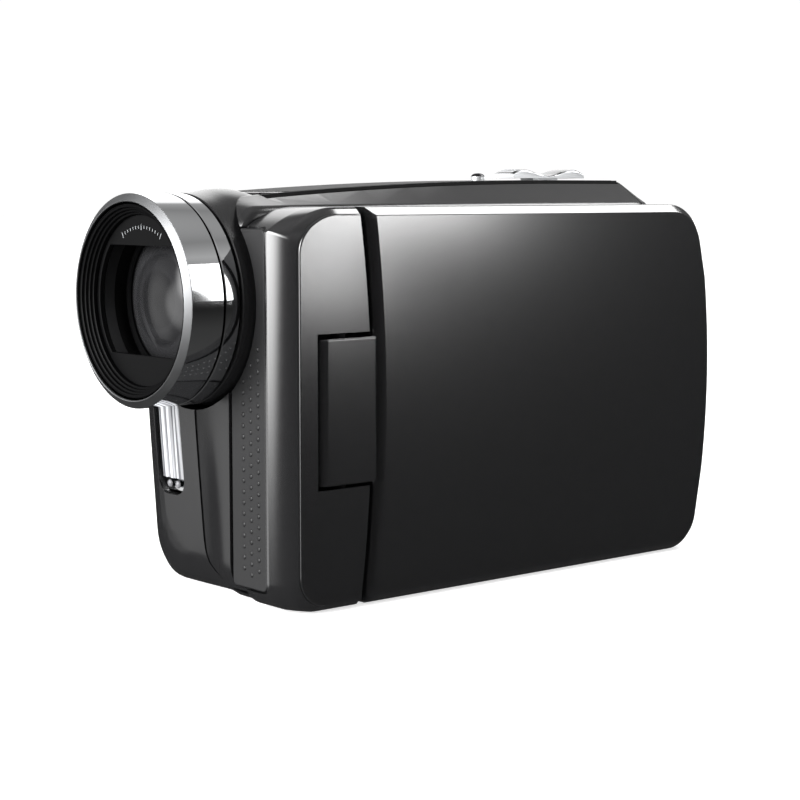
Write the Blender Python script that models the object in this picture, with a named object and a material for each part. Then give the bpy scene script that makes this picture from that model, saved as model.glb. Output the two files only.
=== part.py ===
"""A compact hand-held camcorder with a swing-out screen, in metres, +Z up.

The lens looks along -Y, the screen is on the +X side and the origin is on the
base, under the lens axis.  Every function below makes one family of pieces.
"""
import math

import bmesh
import bpy
from mathutils import Matrix, Vector

MM = 0.001
GAP = 0.35                  # clearance between neighbouring pieces, mm

# --- Driving dimensions, all in millimetres ----------------------------------
BODY_FRONT = -42.9
BODY_REAR = 49.5
BODY_RIGHT = -18.9
BAY_WALL = 13.6             # the wall that the closed screen folds against
SHOULDER_X = 7.0            # where the top turns down towards the screen
SHOULDER_Z = 60.2
TOP_Z = 64.5
TOP_FLAT_FROM = 30.0        # the top rises gently up to here, then runs level
TOP_RISE = 0.00057
WALL = 1.8                  # casing thickness
FRONT_ROUND, REAR_ROUND = 10.0, 7.0     # corners of the casing seen from above
REAR_SPLIT = 45.0           # where the rear cover begins
TOP_COVER_END = 44.3

LENS_Z = 46.2
RING_RADIUS = 16.2
LENS_FRONT = -53.9
RING_SPLIT = -47.6          # where the two chrome rings meet
RING_REAR = -44.6
TUBE_RADIUS = 11.3
ROD_OFFSET, SCREW_OFFSET = 8.2, 8.1
MASK_FACE = -51.3           # black face around the picture window
WINDOW_RADIUS, WINDOW_HALF = 12.2, 8.3

POD_FACE = 24.46            # outer face of the screen pod
POD_LOW, POD_HIGH = 0.25, 60.35
POD_MIDDLE, POD_HALF = (POD_LOW + POD_HIGH) / 2, (POD_HIGH - POD_LOW) / 2
POD_BEVEL = 1.25
CROWN_RISE, CROWN_RUN = 3.5, 9.2        # slope of the pod's top towards its front edge
FRAME_SETBACK, FRAME_CORNER = 3.0, 4.5  # front bevel and corner of its outer face
SEAM_END, SEAM_MID = -28.75, -26.7      # rear edge of the fixed part of the pod
SEAM_WIDTH = 1.65
PANEL_REAR = 51.0
PANEL_SAG = 3.2             # how far the rear edge's ends fall short of its middle
PANEL_INNER = 14.2          # inner face of the screen panel
COVER_INNER = 16.9          # where the panel's cover meets its bezel

HINGE_X = POD_FACE - 3.0
HINGE_Y = -30.8
HINGE_LOW, HINGE_HIGH = 19.0, 41.0
BLOCK_FRONT, BLOCK_REAR = -36.4, -25.45
POCKET_RADIUS = 6.8
PIN_RADIUS = 1.2

JOINT_X = 0.9               # seam between the two casings on the front
STRIP_LEFT, STRIP_RIGHT = 10.6, 19.3
STRIP_LOW, STRIP_HIGH = 3.2, 57.2
STRIP_BACK = BODY_FRONT + 1.25

LAMP_X, LAMP_LOW, LAMP_HIGH, LAMP_WIDTH = -6.8, 15.2, 30.5, 6.6

ROCKER_Y, ROCKER_HALF, ROCKER_WIDTH = 32.0, 8.7, 5.2
ROCKER_PIVOT_Z = 63.6
HUMP_AT = 0.72              # where its humps peak, as a share of its half length
PHOTO_Y, PHOTO_RADIUS = 17.2, 1.2
BAY_BUTTONS = (("power_button", -14.0), ("mode_button", -2.0), ("play_button", 10.0))
BAY_BUTTON_RADIUS, BAY_BUTTON_Z = 2.6, 52.0
REAR_X, RECORD_Z, RECORD_RADIUS = -8.5, 47.5, 5.6
PORT_LEFT, PORT_RIGHT, PORT_LOW, PORT_HIGH = 0.4, 8.0, 12.0, 42.0
SWITCH_Z, SWITCH_HALF, SWITCH_TRAVEL = 29.0, 3.2, 2.5

STRAP_FRONT_Y, STRAP_REAR_Y, STRAP_Z = -27.0, 39.0, 38.0
STRAP_BAR_X = -22.9
STRAP_BULGE = 25.0
STRAP_THICK, STRAP_HALF = 1.2, 8.0
PAD_FRONT_Y, PAD_REAR_Y, PAD_THICK, PAD_HALF = -13.0, 25.0, 3.6, 14.0


# --- Materials ---------------------------------------------------------------
def material(name, colour, roughness, metallic=0.0, transmission=0.0):
    made = bpy.data.materials.new(name)
    made.use_nodes = True
    shader = made.node_tree.nodes["Principled BSDF"]
    shader.inputs["Base Color"].default_value = (*colour, 1.0)
    shader.inputs["Roughness"].default_value = roughness
    shader.inputs["Metallic"].default_value = metallic
    shader.inputs["Transmission Weight"].default_value = transmission
    made.diffuse_color = (*colour, 1.0)
    return made


# --- Building helpers --------------------------------------------------------
def new_object(name, mesh, finish, angle=32.0):
    mesh.materials.append(finish)
    mesh.shade_smooth()
    mesh.set_sharp_from_angle(angle=math.radians(angle))
    made = bpy.data.objects.new(name, mesh)
    bpy.context.scene.collection.objects.link(made)
    return made


def from_bmesh(name, work, finish, angle=32.0):
    bmesh.ops.recalc_face_normals(work, faces=work.faces)
    mesh = bpy.data.meshes.new(name)
    work.to_mesh(mesh)
    work.free()
    return new_object(name, mesh, finish, angle)


def loft(name, rings, finish, angle=32.0):
    """Skins a list of rings of 3-D points (mm) and caps both ends."""
    work = bmesh.new()
    made = [[work.verts.new(Vector(p) * MM) for p in ring] for ring in rings]
    for low, high in zip(made, made[1:]):
        count = len(low)
        for i in range(count):
            j = (i + 1) % count
            work.faces.new((low[i], low[j], high[j], high[i]))
    work.faces.new(made[0])
    work.faces.new(list(reversed(made[-1])))
    return from_bmesh(name, work, finish, angle)


def place(axis, u, v, w):
    """Puts outline point (u, v) at distance w along an axis."""
    return {"X": (w, u, v), "Y": (u, w, v), "Z": (u, v, w)}[axis]


def prism(name, outline, axis, low, high, finish, bevels=(0.0, 0.0), angle=32.0):
    """Extrudes an outline; bevels shrink it towards the low and high ends."""
    levels = [(low, bevels[0]), (low + bevels[0], 0.0), (high - bevels[1], 0.0), (high, bevels[1])]
    kept = [level for i, level in enumerate(levels) if i == 0 or level[0] > levels[i - 1][0]]
    rings = [[place(axis, u, v, w) for u, v in inset(outline, shrink)] for w, shrink in kept]
    return loft(name, rings, finish, angle)


def turned(name, profile, centre, finish, axis="Y", steps=40, angle=32.0):
    """Spins a closed profile of (radius, distance) points about an axis."""
    work = bmesh.new()
    rings = []
    for radius, along in profile:
        if radius < 1e-6:
            ring = [work.verts.new(Vector(place_round(axis, centre, 0, 0, along)) * MM)] * steps
        else:
            ring = []
            for i in range(steps):
                turn = 2 * math.pi * i / steps
                point = place_round(axis, centre, radius * math.cos(turn), radius * math.sin(turn), along)
                ring.append(work.verts.new(Vector(point) * MM))
        rings.append(ring)
    on_axis = profile[0][0] < 1e-6
    pairs = list(zip(rings, rings[1:]))
    if not on_axis:
        pairs.append((rings[-1], rings[0]))
    for first, second in pairs:
        for i in range(steps):
            j = (i + 1) % steps
            corners = [first[i], first[j], second[j], second[i]]
            unique = list(dict.fromkeys(corners))
            if len(unique) > 2:
                work.faces.new(unique)
    return from_bmesh(name, work, finish, angle)


def place_round(axis, centre, u, v, along):
    x, y, z = centre
    if axis == "X":
        return (x + along, y + u, z + v)
    if axis == "Y":
        return (x + u, y + along, z + v)
    return (x + u, y + v, z + along)


def disc(name, radius, low, high, centre, finish, axis="Y", steps=32, chamfer=0.0):
    """A solid of revolution on its axis, with an optional chamfer on the high end."""
    profile = [(0, low), (radius, low), (radius, high - chamfer)]
    if chamfer:
        profile.append((radius - chamfer, high))
    profile.append((0, high))
    return turned(name, profile, centre, finish, axis, steps)


def tube(name, outer, inner, low, high, centre, finish, axis="Y", steps=40):
    profile = [(inner, low), (outer, low), (outer, high), (inner, high)]
    return turned(name, profile, centre, finish, axis, steps)


def box(name, low, high, finish, bevel=0.0, segments=2):
    work = bmesh.new()
    bmesh.ops.create_cube(work, size=1.0)
    size = Vector(high) - Vector(low)
    middle = (Vector(high) + Vector(low)) / 2
    bmesh.ops.scale(work, vec=size * MM, verts=work.verts)
    bmesh.ops.translate(work, vec=middle * MM, verts=work.verts)
    made = from_bmesh(name, work, finish)
    if bevel:
        rounding = made.modifiers.new("rounding", "BEVEL")
        rounding.width = bevel * MM
        rounding.segments = segments
        rounding.limit_method = "ANGLE"
    return made


def combine(target, tool, operation="DIFFERENCE"):
    """Applies a helper solid to a piece with an exact Boolean."""
    tool.hide_render = True
    tool.display_type = "WIRE"
    change = target.modifiers.new(operation.lower(), "BOOLEAN")
    change.operation = operation
    change.solver = "EXACT"
    change.object = tool
    return target


def inset(outline, distance):
    """Moves every edge of a counter-clockwise outline inward."""
    if not distance:
        return list(outline)
    moved = []
    count = len(outline)
    for i in range(count):
        before, here, after = (Vector(outline[k % count]) for k in (i - 1, i, i + 1))
        first = (here - before).normalized()
        second = (after - here).normalized()
        normal = Vector((-first.y - second.y, first.x + second.x))
        scale = 1.0 + first.dot(second)
        moved.append(tuple(here + normal * (distance / max(scale, 0.3))))
    return moved


def rounded(corners, segments=4):
    """Rounds a counter-clockwise polygon given as (u, v, radius) corners."""
    points = []
    count = len(corners)
    for i in range(count):
        before = Vector(corners[i - 1][:2])
        here = Vector(corners[i][:2])
        after = Vector(corners[(i + 1) % count][:2])
        radius = corners[i][2]
        if radius <= 0:
            points.append(tuple(here))
            continue
        first, second = (before - here).normalized(), (after - here).normalized()
        half = first.angle(second) / 2
        centre = here + (first + second).normalized() * (radius / math.sin(half))
        start = here + first * (radius / math.tan(half)) - centre
        turn = math.pi - 2 * half
        if first.cross(second) > 0:
            turn = -turn
        for step in range(segments + 1):
            points.append(tuple(centre + Matrix.Rotation(turn * step / segments, 2) @ start))
    return points


def rectangle(u0, v0, u1, v1, radius=0.0, segments=4):
    corners = [(u0, v0, radius), (u1, v0, radius), (u1, v1, radius), (u0, v1, radius)]
    return rounded(corners, segments)


# --- Body shell --------------------------------------------------------------
def top_height(y):
    return TOP_Z - TOP_RISE * max(0.0, TOP_FLAT_FROM - y) ** 2


def shrink(radius, distance):
    """How far a rounded edge has pulled in at a distance from the end face."""
    if distance >= radius:
        return 0.0
    return radius - math.sqrt(radius ** 2 - (radius - distance) ** 2)


def body_section(y, wall):
    """The casing's outline in X and Z at one place along its length."""
    front, rear = y - (BODY_FRONT + wall), (BODY_REAR - wall) - y
    right = BODY_RIGHT + wall + shrink(FRONT_ROUND - wall, front) + shrink(REAR_ROUND - wall, rear)
    base = wall + shrink(6.5 - wall, front) + shrink(4 - wall, rear)
    top = top_height(y) - wall - shrink(5 - wall, front) - shrink(6 - wall, rear)
    turn_in = shrink(6 - wall, rear)
    left = BAY_WALL - wall - turn_in
    shoulder = min(SHOULDER_Z - wall * 0.6, top - 1.0)
    corners = [(right, base, 6.5 - wall), (left, base, 1.6), (left, shoulder, 2.0),
               (SHOULDER_X - 0.75 * turn_in, top, 2.0), (right, top, 8.0 - wall)]
    return [(x, y, z) for x, z in rounded(corners, 4)]


def body_solid(name, wall, finish):
    steps = [math.radians(a) for a in (0, 22, 44, 66, 90)]
    front = [BODY_FRONT + wall + (FRONT_ROUND - wall) * (1 - math.cos(a)) for a in steps]
    rear = [BODY_REAR - wall - (REAR_ROUND - wall) * (1 - math.cos(a)) for a in reversed(steps)]
    stations = front + [-18.0, 0.0, 15.0, 30.0] + rear
    return loft(name, [body_section(y, wall) for y in stations], finish)


def shell_piece(name, region, finish):
    """A piece of the casing: the hollow body kept inside one region."""
    piece = body_solid(name, 0.0, finish)
    combine(piece, body_solid(name + "_hollow_cut", WALL, finish))
    return combine(piece, region, "INTERSECT")


def split_outline(side):
    """Front outline of the seam between the casings, with its hook at the base."""
    low, far = side * GAP / 2, side * 30.0
    edge = JOINT_X + low
    seam = [(edge, 80.0), (edge, 10.0), (edge + 0.3, 6.8), (edge + 1.3, 4.4 + low),
            (edge + 3.2, 2.9 + low), (edge + 6.4, 2.1 + low), (BAY_WALL - 2.6, 1.9 + low)]
    if side > 0:
        return seam + [(far, 1.9 + low), (far, 80.0)]
    return seam + [(40.0, 1.9 + low), (40.0, -5.0), (far, -5.0), (far, 80.0)]


def casings(dark):
    """Left, right and rear shells of the body."""
    left_region = prism("left_region_cut", list(reversed(split_outline(1))), "Y",
                        -60, REAR_SPLIT - GAP, dark)
    right_region = prism("right_region_cut", split_outline(-1), "Y", -60, REAR_SPLIT - GAP, dark)
    left = shell_piece("left_casing", left_region, dark)
    right = shell_piece("right_casing", right_region, dark)
    rear_region = box("rear_region_cut", (-40, REAR_SPLIT, -5), (40, 60, 80), dark)
    rear = shell_piece("rear_cover", rear_region, dark)
    top_slot = box("top_slot_cut", (-11.0 - GAP, -28 - GAP, 60.5),
                   (SHOULDER_X - 0.5 + GAP, REAR_SPLIT, 70), dark)
    for piece in (left, right):
        combine(piece, top_slot)
    return left, right, rear


def top_cover(satin):
    """The raised dark strip along the top that carries the zoom control."""
    rings = []
    left, right, under = SHOULDER_X - 0.5, -11.0, 61.2
    for y in (-28.0, -14.0, 0.0, 15.0, 30.0, TOP_COVER_END):
        top = top_height(y) + 0.05
        corners = [(right, under, 0), (left, under, 0), (left, top, 0.6), (right, top, 0.6)]
        rings.append([(x, y, z) for x, z in rounded(corners, 2)])
    cover = loft("top_cover", rings, satin)
    half, reach = ROCKER_WIDTH / 2 + 0.4, ROCKER_HALF + 0.45
    recess = rectangle(-half, ROCKER_Y - reach, half, ROCKER_Y + reach, 0.8, 2)
    combine(cover, prism("rocker_recess_cut", recess, "Z", 63.4, 70, satin))
    combine(cover, box("rocker_slot_cut", (-2.2, ROCKER_Y - 6, 55), (2.2, ROCKER_Y + 6, 70), satin))
    combine(cover, disc("rocker_pin_cut", 1.0, -3.8, 3.8, (0, ROCKER_Y, ROCKER_PIVOT_Z), satin, "X", 16))
    combine(cover, disc("photo_hole_cut", PHOTO_RADIUS + 0.35, 55, 70, (0, PHOTO_Y, 0), satin, "Z"))


# --- Screen pod --------------------------------------------------------------
def seam_edge(offset):
    """Arc of the seam from base to top, bowed rearward at mid height."""
    points = []
    for step in range(9):
        z = POD_LOW + 2 * POD_HALF * step / 8
        bow = (SEAM_MID - SEAM_END) * (1 - ((z - POD_MIDDLE) / POD_HALF) ** 2)
        points.append((SEAM_END + bow + offset, z))
    return points


def rear_edge(z):
    """How far back the panel reaches at one height."""
    return PANEL_REAR - PANEL_SAG * ((z - 31.0) / 29.0) ** 2


def panel_outline():
    """Outline of the moving panel in Y and Z, counter-clockwise seen from +X."""
    front = list(reversed(seam_edge(SEAM_WIDTH)))
    rear = [(rear_edge(z), z) for z in (14.0, 22.0, 31.0, 40.0, 48.0)]
    lower = rounded([(0, POD_LOW, 0), (rear_edge(2) - 0.5, POD_LOW, 6.5), (*rear[0], 0)], 5)[1:-1]
    upper = rounded([(*rear[-1], 0), (rear_edge(58) - 1.2, POD_HIGH, 8.0), (0, POD_HIGH, 0)], 5)[1:-1]
    return lower + rear + upper + front


def frame_ring(x, front_share, side_share):
    """Section of the fixed part at one X: 0 is the body side, 1 the outer face."""
    front = BODY_FRONT + FRAME_SETBACK * front_share
    low, high = POD_LOW + POD_BEVEL * side_share, POD_HIGH - POD_BEVEL * side_share
    scale = (high - POD_MIDDLE) / POD_HALF
    points = [(y, POD_MIDDLE + (z - POD_MIDDLE) * scale) for y, z in seam_edge(0.0)]
    rise = CROWN_RISE + (FRAME_CORNER - CROWN_RISE) * front_share
    run = CROWN_RUN + (FRAME_CORNER - CROWN_RUN) * front_share
    for step in range(6):
        share = 1 - step / 5
        turn = math.pi / 2 * share
        crisp = (front + run * share, high - rise * (1 - share) ** 2)
        soft = (front + run * (1 - math.cos(turn)), high - rise * (1 - math.sin(turn)))
        points.append(tuple(c + (r - c) * front_share for c, r in zip(crisp, soft)))
    for step in range(6):
        turn = math.pi / 2 * step / 5
        forward, down = math.cos(turn), math.sin(turn)
        points.append((front + FRAME_CORNER * (1 - forward), low + FRAME_CORNER * (1 - down)))
    return [(x, y, z) for y, z in points]


def side_frame(dark):
    """The fixed front part of the pod, with the pocket for the hinge block."""
    rings = [frame_ring(BAY_WALL + GAP, 0, 0), frame_ring(20.2, 0, 0),
             frame_ring(POD_FACE - POD_BEVEL, 0.7, 0), frame_ring(POD_FACE, 1, 1)]
    frame = loft("side_frame", rings, dark)
    for low, high in ((POD_LOW + 2.4, HINGE_LOW - 7.0), (HINGE_HIGH + 7.0, POD_HIGH - 2.6)):
        room = rectangle(BODY_FRONT + 2.2, low, SEAM_END - 2.4, high, 1.5)
        combine(frame, prism("frame_room_%d_cut" % low, room, "X", 10, POD_FACE - 2.2, dark))
    pocket = disc("pocket_cut", POCKET_RADIUS, HINGE_LOW - 0.5, HINGE_HIGH + 0.8,
                  (HINGE_X, HINGE_Y, 0), dark, "Z", 40)
    combine(frame, pocket)
    pocket_mouth = box("pocket_mouth_cut", (HINGE_X - 0.5, HINGE_Y, HINGE_LOW - 0.5),
                       (30, -20, HINGE_HIGH + 0.8), dark)
    combine(frame, pocket_mouth)
    combine(frame, disc("pin_hole_cut", PIN_RADIUS + 0.3, 12, 48, (HINGE_X, HINGE_Y, 0), dark, "Z", 16))
    return frame


def screen_panel(dark, black, glass):
    """The swinging panel: cover, bezel, display and its backlight."""
    outline = panel_outline()
    cover = prism("lcd_cover", outline, "X", COVER_INNER, POD_FACE, dark, (0.0, POD_BEVEL))
    tray = prism("tray_cut", inset(outline, 2.2), "X", 10, POD_FACE - 2.0, dark)
    combine(cover, tray)
    shaft_hole = disc("shaft_hole_cut", 1.9, -30, -20, (HINGE_X - 1.3, 0, 30), dark, "Y", 16)
    combine(cover, shaft_hole)
    bezel = prism("lcd_bezel", inset(outline, 0.25), "X", PANEL_INNER, COVER_INNER - GAP, black,
                  (0.7, 0.0))
    window = rectangle(-19.0, 7.5, 43.0, 54.0, 1.0, 2)
    combine(bezel, prism("window_cut", window, "X", 10, 20, black))
    prism("lcd_display", rectangle(-19 + GAP, 7.5 + GAP, 43 - GAP, 54 - GAP, 0.8, 2), "X",
          PANEL_INNER + 0.35, PANEL_INNER + 2.0, glass)
    prism("lcd_backlight", rectangle(-17.6, 8.5, 42, 53, 0.8, 2), "X",
          PANEL_INNER + 2.4, PANEL_INNER + 5.6, black)


def hinge(dark, steel):
    """The block that turns in the pod's pocket, its pin and the panel's shaft."""
    radius = 5.4
    outer, rear = POD_FACE - HINGE_X, BLOCK_REAR - HINGE_Y
    front = BLOCK_FRONT - HINGE_Y
    inner_arc = []
    for step in range(9):
        turn = math.radians(90 + 180 * step / 8)
        inner_arc.append((radius * math.cos(turn), radius * math.sin(turn)))
    inner_arc[0] = (0.0, rear)
    outline = [(outer, rear - 0.4), (outer - 0.4, rear)] + inner_arc
    outline += [(0.3, front), (outer - 0.9, front), (outer - 0.25, front + 0.3), (outer, front + 0.9)]
    moved = [(x + HINGE_X, y + HINGE_Y) for x, y in outline]
    block = prism("hinge_block", moved, "Z", HINGE_LOW, HINGE_HIGH, dark, (0.35, 0.35))
    axis, shaft_axis = (HINGE_X, HINGE_Y, 0), (HINGE_X - 1.3, 0, 30)
    combine(block, disc("block_bore_cut", PIN_RADIUS + 0.3, 10, 50, axis, dark, "Z", 16))
    combine(block, disc("block_shaft_cut", 1.9, -28.4, -20, shaft_axis, dark, "Y", 16))
    disc("hinge_pin", PIN_RADIUS, 12.4, 47.6, axis, steel, "Z", 16)
    disc("tilt_shaft", 1.5, -28.0, -18.5, shaft_axis, steel, "Y", 16)


# --- Lens --------------------------------------------------------------------
def window_outline():
    """The round picture window with its top and bottom cut straight."""
    reach = math.asin(WINDOW_HALF / WINDOW_RADIUS)
    points = []
    for middle in (0.0, math.pi):
        for step in range(9):
            turn = middle - reach + 2 * reach * step / 8
            points.append((WINDOW_RADIUS * math.cos(turn), LENS_Z + WINDOW_RADIUS * math.sin(turn)))
    return points


def lens(dark, chrome, black, glass):
    """Barrel, two plated rings, the black face and the glass behind it."""
    centre, radius = (0, 0, LENS_Z), RING_RADIUS
    housing = [(14.6, -44.2), (16.2, -44.2), (16.5, -41.0), (16.85, -38.5), (16.85, -36.0),
               (16.3, -33.2), (14.6, -33.2)]
    turned("lens_barrel_housing", housing, centre, dark, steps=48)
    front = [(14.9, LENS_FRONT + 0.3), (radius - 1.2, LENS_FRONT), (radius, LENS_FRONT + 0.75),
             (radius, RING_SPLIT), (14.9, RING_SPLIT)]
    turned("lens_front_ring", front, centre, chrome, steps=56)
    rear = [(14.9, RING_SPLIT + GAP), (radius - 0.25, RING_SPLIT + GAP), (radius, RING_SPLIT + 0.7),
            (radius, RING_REAR), (14.9, RING_REAR)]
    turned("lens_rear_ring", rear, centre, chrome, steps=56)
    mask = [(0, MASK_FACE), (13.0, MASK_FACE), (13.0, MASK_FACE - 0.7), (13.5, MASK_FACE - 1.0),
            (13.5, MASK_FACE - 1.7), (14.0, MASK_FACE - 2.0), (14.5, MASK_FACE - 2.25),
            (14.5, RING_REAR), (11.6, RING_REAR), (12.4, MASK_FACE + 0.8), (0, MASK_FACE + 0.8)]
    hood = turned("lens_hood_mask", mask, centre, black, steps=40)
    combine(hood, prism("mask_window_cut", window_outline(), "Y", -60, -40, black))
    dome = [(0, -49.0), (4.0, -48.6), (7.6, -47.7), (10.4, -46.5), (10.4, -43.4), (0, -43.4)]
    turned("front_lens", dome, centre, glass, steps=40)
    cell = [(10.75, -44.25), (14.2, -44.25), (14.2, -40.0), (TUBE_RADIUS, -39.0), (TUBE_RADIUS, -8.0),
            (10.1, -8.0), (10.1, -38.3), (10.75, -38.3)]
    turned("lens_tube", cell, centre, black, steps=36)
    turned("rear_lens", [(0, -11.6), (4.2, -11.0), (6.2, -10.0), (6.2, -8.6), (0, -8.6)], centre,
           glass, steps=24)


def lens_drive(steel, black, glass):
    """The zoom group on its two guide rods, moved by a lead screw and motor."""
    centre = (0, 0, LENS_Z)
    carriage = tube("zoom_carriage", 9.7, 6.4, -30.0, -26.0, centre, black, steps=32)
    for name, x in (("guide_rod_left", ROD_OFFSET), ("guide_rod_right", -ROD_OFFSET)):
        disc(name, 0.6, -37.5, -9.0, (x, 0, LENS_Z), steel, steps=12)
        combine(carriage, disc(name + "_cut", 0.9, -40, -5, (x, 0, LENS_Z), black, steps=12))
    screw_centre = (0, 0, LENS_Z - SCREW_OFFSET)
    combine(carriage, disc("screw_hole_cut", 1.2, -40, -5, screw_centre, black, steps=12))
    turned("zoom_lens", [(0, -29.9), (4.0, -29.4), (6.05, -28.6), (6.05, -27.0), (0, -26.4)], centre,
           glass, steps=24)
    screw = [(0, -37.0), (0.6, -37.0)]
    for turn in range(12):
        y = -36.0 + turn * 2.0
        screw += [(0.6, y), (0.85, y + 0.8), (0.6, y + 1.6)]
    screw += [(0.6, -12.4), (0, -12.4)]
    turned("lead_screw", screw, screw_centre, steel, steps=8)
    disc("zoom_motor", 1.7, -12.0, -8.2, screw_centre, steel, steps=20)


# --- Things inside -----------------------------------------------------------
def electronics(board, black, cell):
    """Boards, sensor, card, battery and speaker in their places."""
    box("sensor_board", (-8, -6.4, 37.5), (8, -5.2, 56), board)
    box("image_sensor", (-5, -7.6, 42.4), (5, -6.75, 50.0), black)
    box("main_board", (8.6, -30, 8), (9.8, 40, 38), board)
    box("image_processor", (6.9, 0, 18), (8.25, 14, 32), black, 0.2, 1)
    box("memory_card", (4.2, 14, 6.5), (6.3, 38, 30.5), black)
    box("battery", (-15.4, 6.6, 3.1), (-1.2, 42.0, 44.5), cell, 1.0, 2)
    disc("speaker", 7.0, -16.4, -13.6, (0, 26.0, 52.0), black, "X", 24)
    disc("microphone", 2.4, -40.7, -37.0, (6.0, 0, 23.0), black, steps=20)


def grip_strip(dark):
    strip = rectangle(STRIP_LEFT, STRIP_LOW, STRIP_RIGHT, STRIP_HIGH, 1.0, 2)
    return prism("front_grip_strip", strip, "Y", BODY_FRONT + 0.25, STRIP_BACK, dark, (0.25, 0.0))


def lamp(clear, chrome):
    """The photo lamp: window, plated dish and tube."""
    half = LAMP_WIDTH / 2
    opening = rectangle(LAMP_X - half, LAMP_LOW, LAMP_X + half, LAMP_HIGH, 2.2, 4)
    prism("lamp_window", opening, "Y", BODY_FRONT - 0.05, BODY_FRONT + 1.0, clear, (0.3, 0.0))
    room = rectangle(LAMP_X - half + 0.2, LAMP_LOW + 0.2, LAMP_X + half - 0.2, LAMP_HIGH - 1.6, 2.0, 4)
    dish = prism("lamp_reflector", room, "Y", BODY_FRONT + 1.35, BODY_FRONT + 6.0, chrome)
    hollow = rectangle(LAMP_X - half + 1.0, LAMP_LOW + 1, LAMP_X + half - 1.0, LAMP_HIGH - 2.4, 1.2, 3)
    combine(dish, prism("reflector_cut", hollow, "Y", -50, BODY_FRONT + 5.2, chrome))
    axis = (LAMP_X, BODY_FRONT + 3.4, 0)
    disc("lamp_tube", 0.9, LAMP_LOW + 2.0, LAMP_HIGH - 3.4, axis, clear, "Z", 12)


# --- Controls ----------------------------------------------------------------
def rocker_outline():
    """Side outline of the zoom control: two humps with a dip for the finger."""
    points = [(-ROCKER_HALF, 64.9), (ROCKER_HALF, 64.9)]
    for step in range(17):
        along = 1.0 - step / 8
        hump = 65.35 + 1.15 * math.sin(min(1.0, abs(along) / HUMP_AT) * math.pi / 2) ** 2
        drop = 0.8 * max(0.0, (abs(along) - HUMP_AT) / (1 - HUMP_AT)) ** 1.5
        points.append((along * ROCKER_HALF, hump - drop))
    return points


def controls(silver, black, steel):
    """Zoom control on its pin, and the photo, record and bay buttons."""
    half = ROCKER_WIDTH / 2
    outline = [(y + ROCKER_Y, z) for y, z in rocker_outline()]
    rocker = prism("zoom_rocker", outline, "X", -half, half, silver, (0.12, 0.12))
    stem = box("rocker_stem_cut", (-1.6, ROCKER_Y - 3.0, 62.2), (1.6, ROCKER_Y + 3.0, 65.2), silver)
    combine(rocker, stem, "UNION")
    combine(rocker, disc("rocker_bore_cut", 1.05, -8, 8, (0, ROCKER_Y, ROCKER_PIVOT_Z), black, "X", 12))
    disc("rocker_pin", 0.7, -3.5, 3.5, (0, ROCKER_Y, ROCKER_PIVOT_Z), steel, "X", 12)
    disc("photo_button", PHOTO_RADIUS, 62.6, 65.75, (0, PHOTO_Y, 0), black, "Z", 24, 0.5)
    disc("record_button", RECORD_RADIUS, BODY_REAR - 3.0, BODY_REAR + 1.3, (REAR_X, 0, RECORD_Z), silver,
         steps=28, chamfer=0.5)
    for name, y in BAY_BUTTONS:
        disc(name, BAY_BUTTON_RADIUS, BAY_WALL - 2.05, BAY_WALL - 0.1, (0, y, BAY_BUTTON_Z), black, "X",
             20, 0.3)


def rear_fittings(rear, dark, rubber, clear):
    """Openings in the rear cover, with the switch, status lamp and port cover."""
    hole = disc("record_hole_cut", RECORD_RADIUS + GAP, 40, 60, (REAR_X, 0, RECORD_Z), dark, steps=28)
    combine(rear, hole)
    reach = SWITCH_HALF + SWITCH_TRAVEL + GAP
    slot = rectangle(REAR_X - 2.4, SWITCH_Z - reach, REAR_X + 2.4, SWITCH_Z + reach, 0.8, 2)
    combine(rear, prism("switch_slot_cut", slot, "Y", BODY_REAR - 1.1, 60, dark))
    knob = rectangle(REAR_X - 2.0, SWITCH_Z - SWITCH_HALF, REAR_X + 2.0, SWITCH_Z + SWITCH_HALF, 0.6, 2)
    prism("mode_switch", knob, "Y", BODY_REAR - 0.75, BODY_REAR + 1.0, rubber, (0.0, 0.3))
    lamp_hole = disc("status_hole_cut", 1.2 + GAP, 40, 60, (5.8, 0, 50.5), dark, steps=12)
    combine(rear, lamp_hole)
    disc("status_lamp", 1.2, BODY_REAR - 2.0, BODY_REAR + 0.2, (5.8, 0, 50.5), clear, steps=12)
    port = rectangle(PORT_LEFT, PORT_LOW, PORT_RIGHT, PORT_HIGH, 1.2, 2)
    combine(rear, prism("port_cut", port, "Y", BODY_REAR - 1.0, 60, dark))
    flap = rectangle(PORT_LEFT + GAP, PORT_LOW + GAP, PORT_RIGHT - GAP, PORT_HIGH - GAP, 1.0, 2)
    prism("port_cover", flap, "Y", BODY_REAR - 0.65, BODY_REAR + 0.4, rubber, (0.0, 0.3))


def base_fittings(right, dark, steel):
    """Battery door and tripod bush in the base."""
    opening = rectangle(-13.5, 6.0, -1.5, 41.6, 1.0, 2)
    combine(right, prism("door_cut", opening, "Z", -5, 2.6, dark))
    leaf = rectangle(-13.5 + GAP, 6.0 + GAP, -1.5 - GAP, 41.6 - GAP, 0.8, 2)
    prism("battery_door", leaf, "Z", 0.1, 1.6, dark, (0.2, 0.0))
    combine(right, disc("bush_cut", 5.3, -5, 5, (0, -16, 0), dark, "Z", 24))
    bush = [(3.2, 0.1), (5.0, 0.1), (5.0, 7.0), (3.2, 7.0)]
    turned("tripod_bush", bush, (0, -16, 0), steel, "Z", 24)


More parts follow.
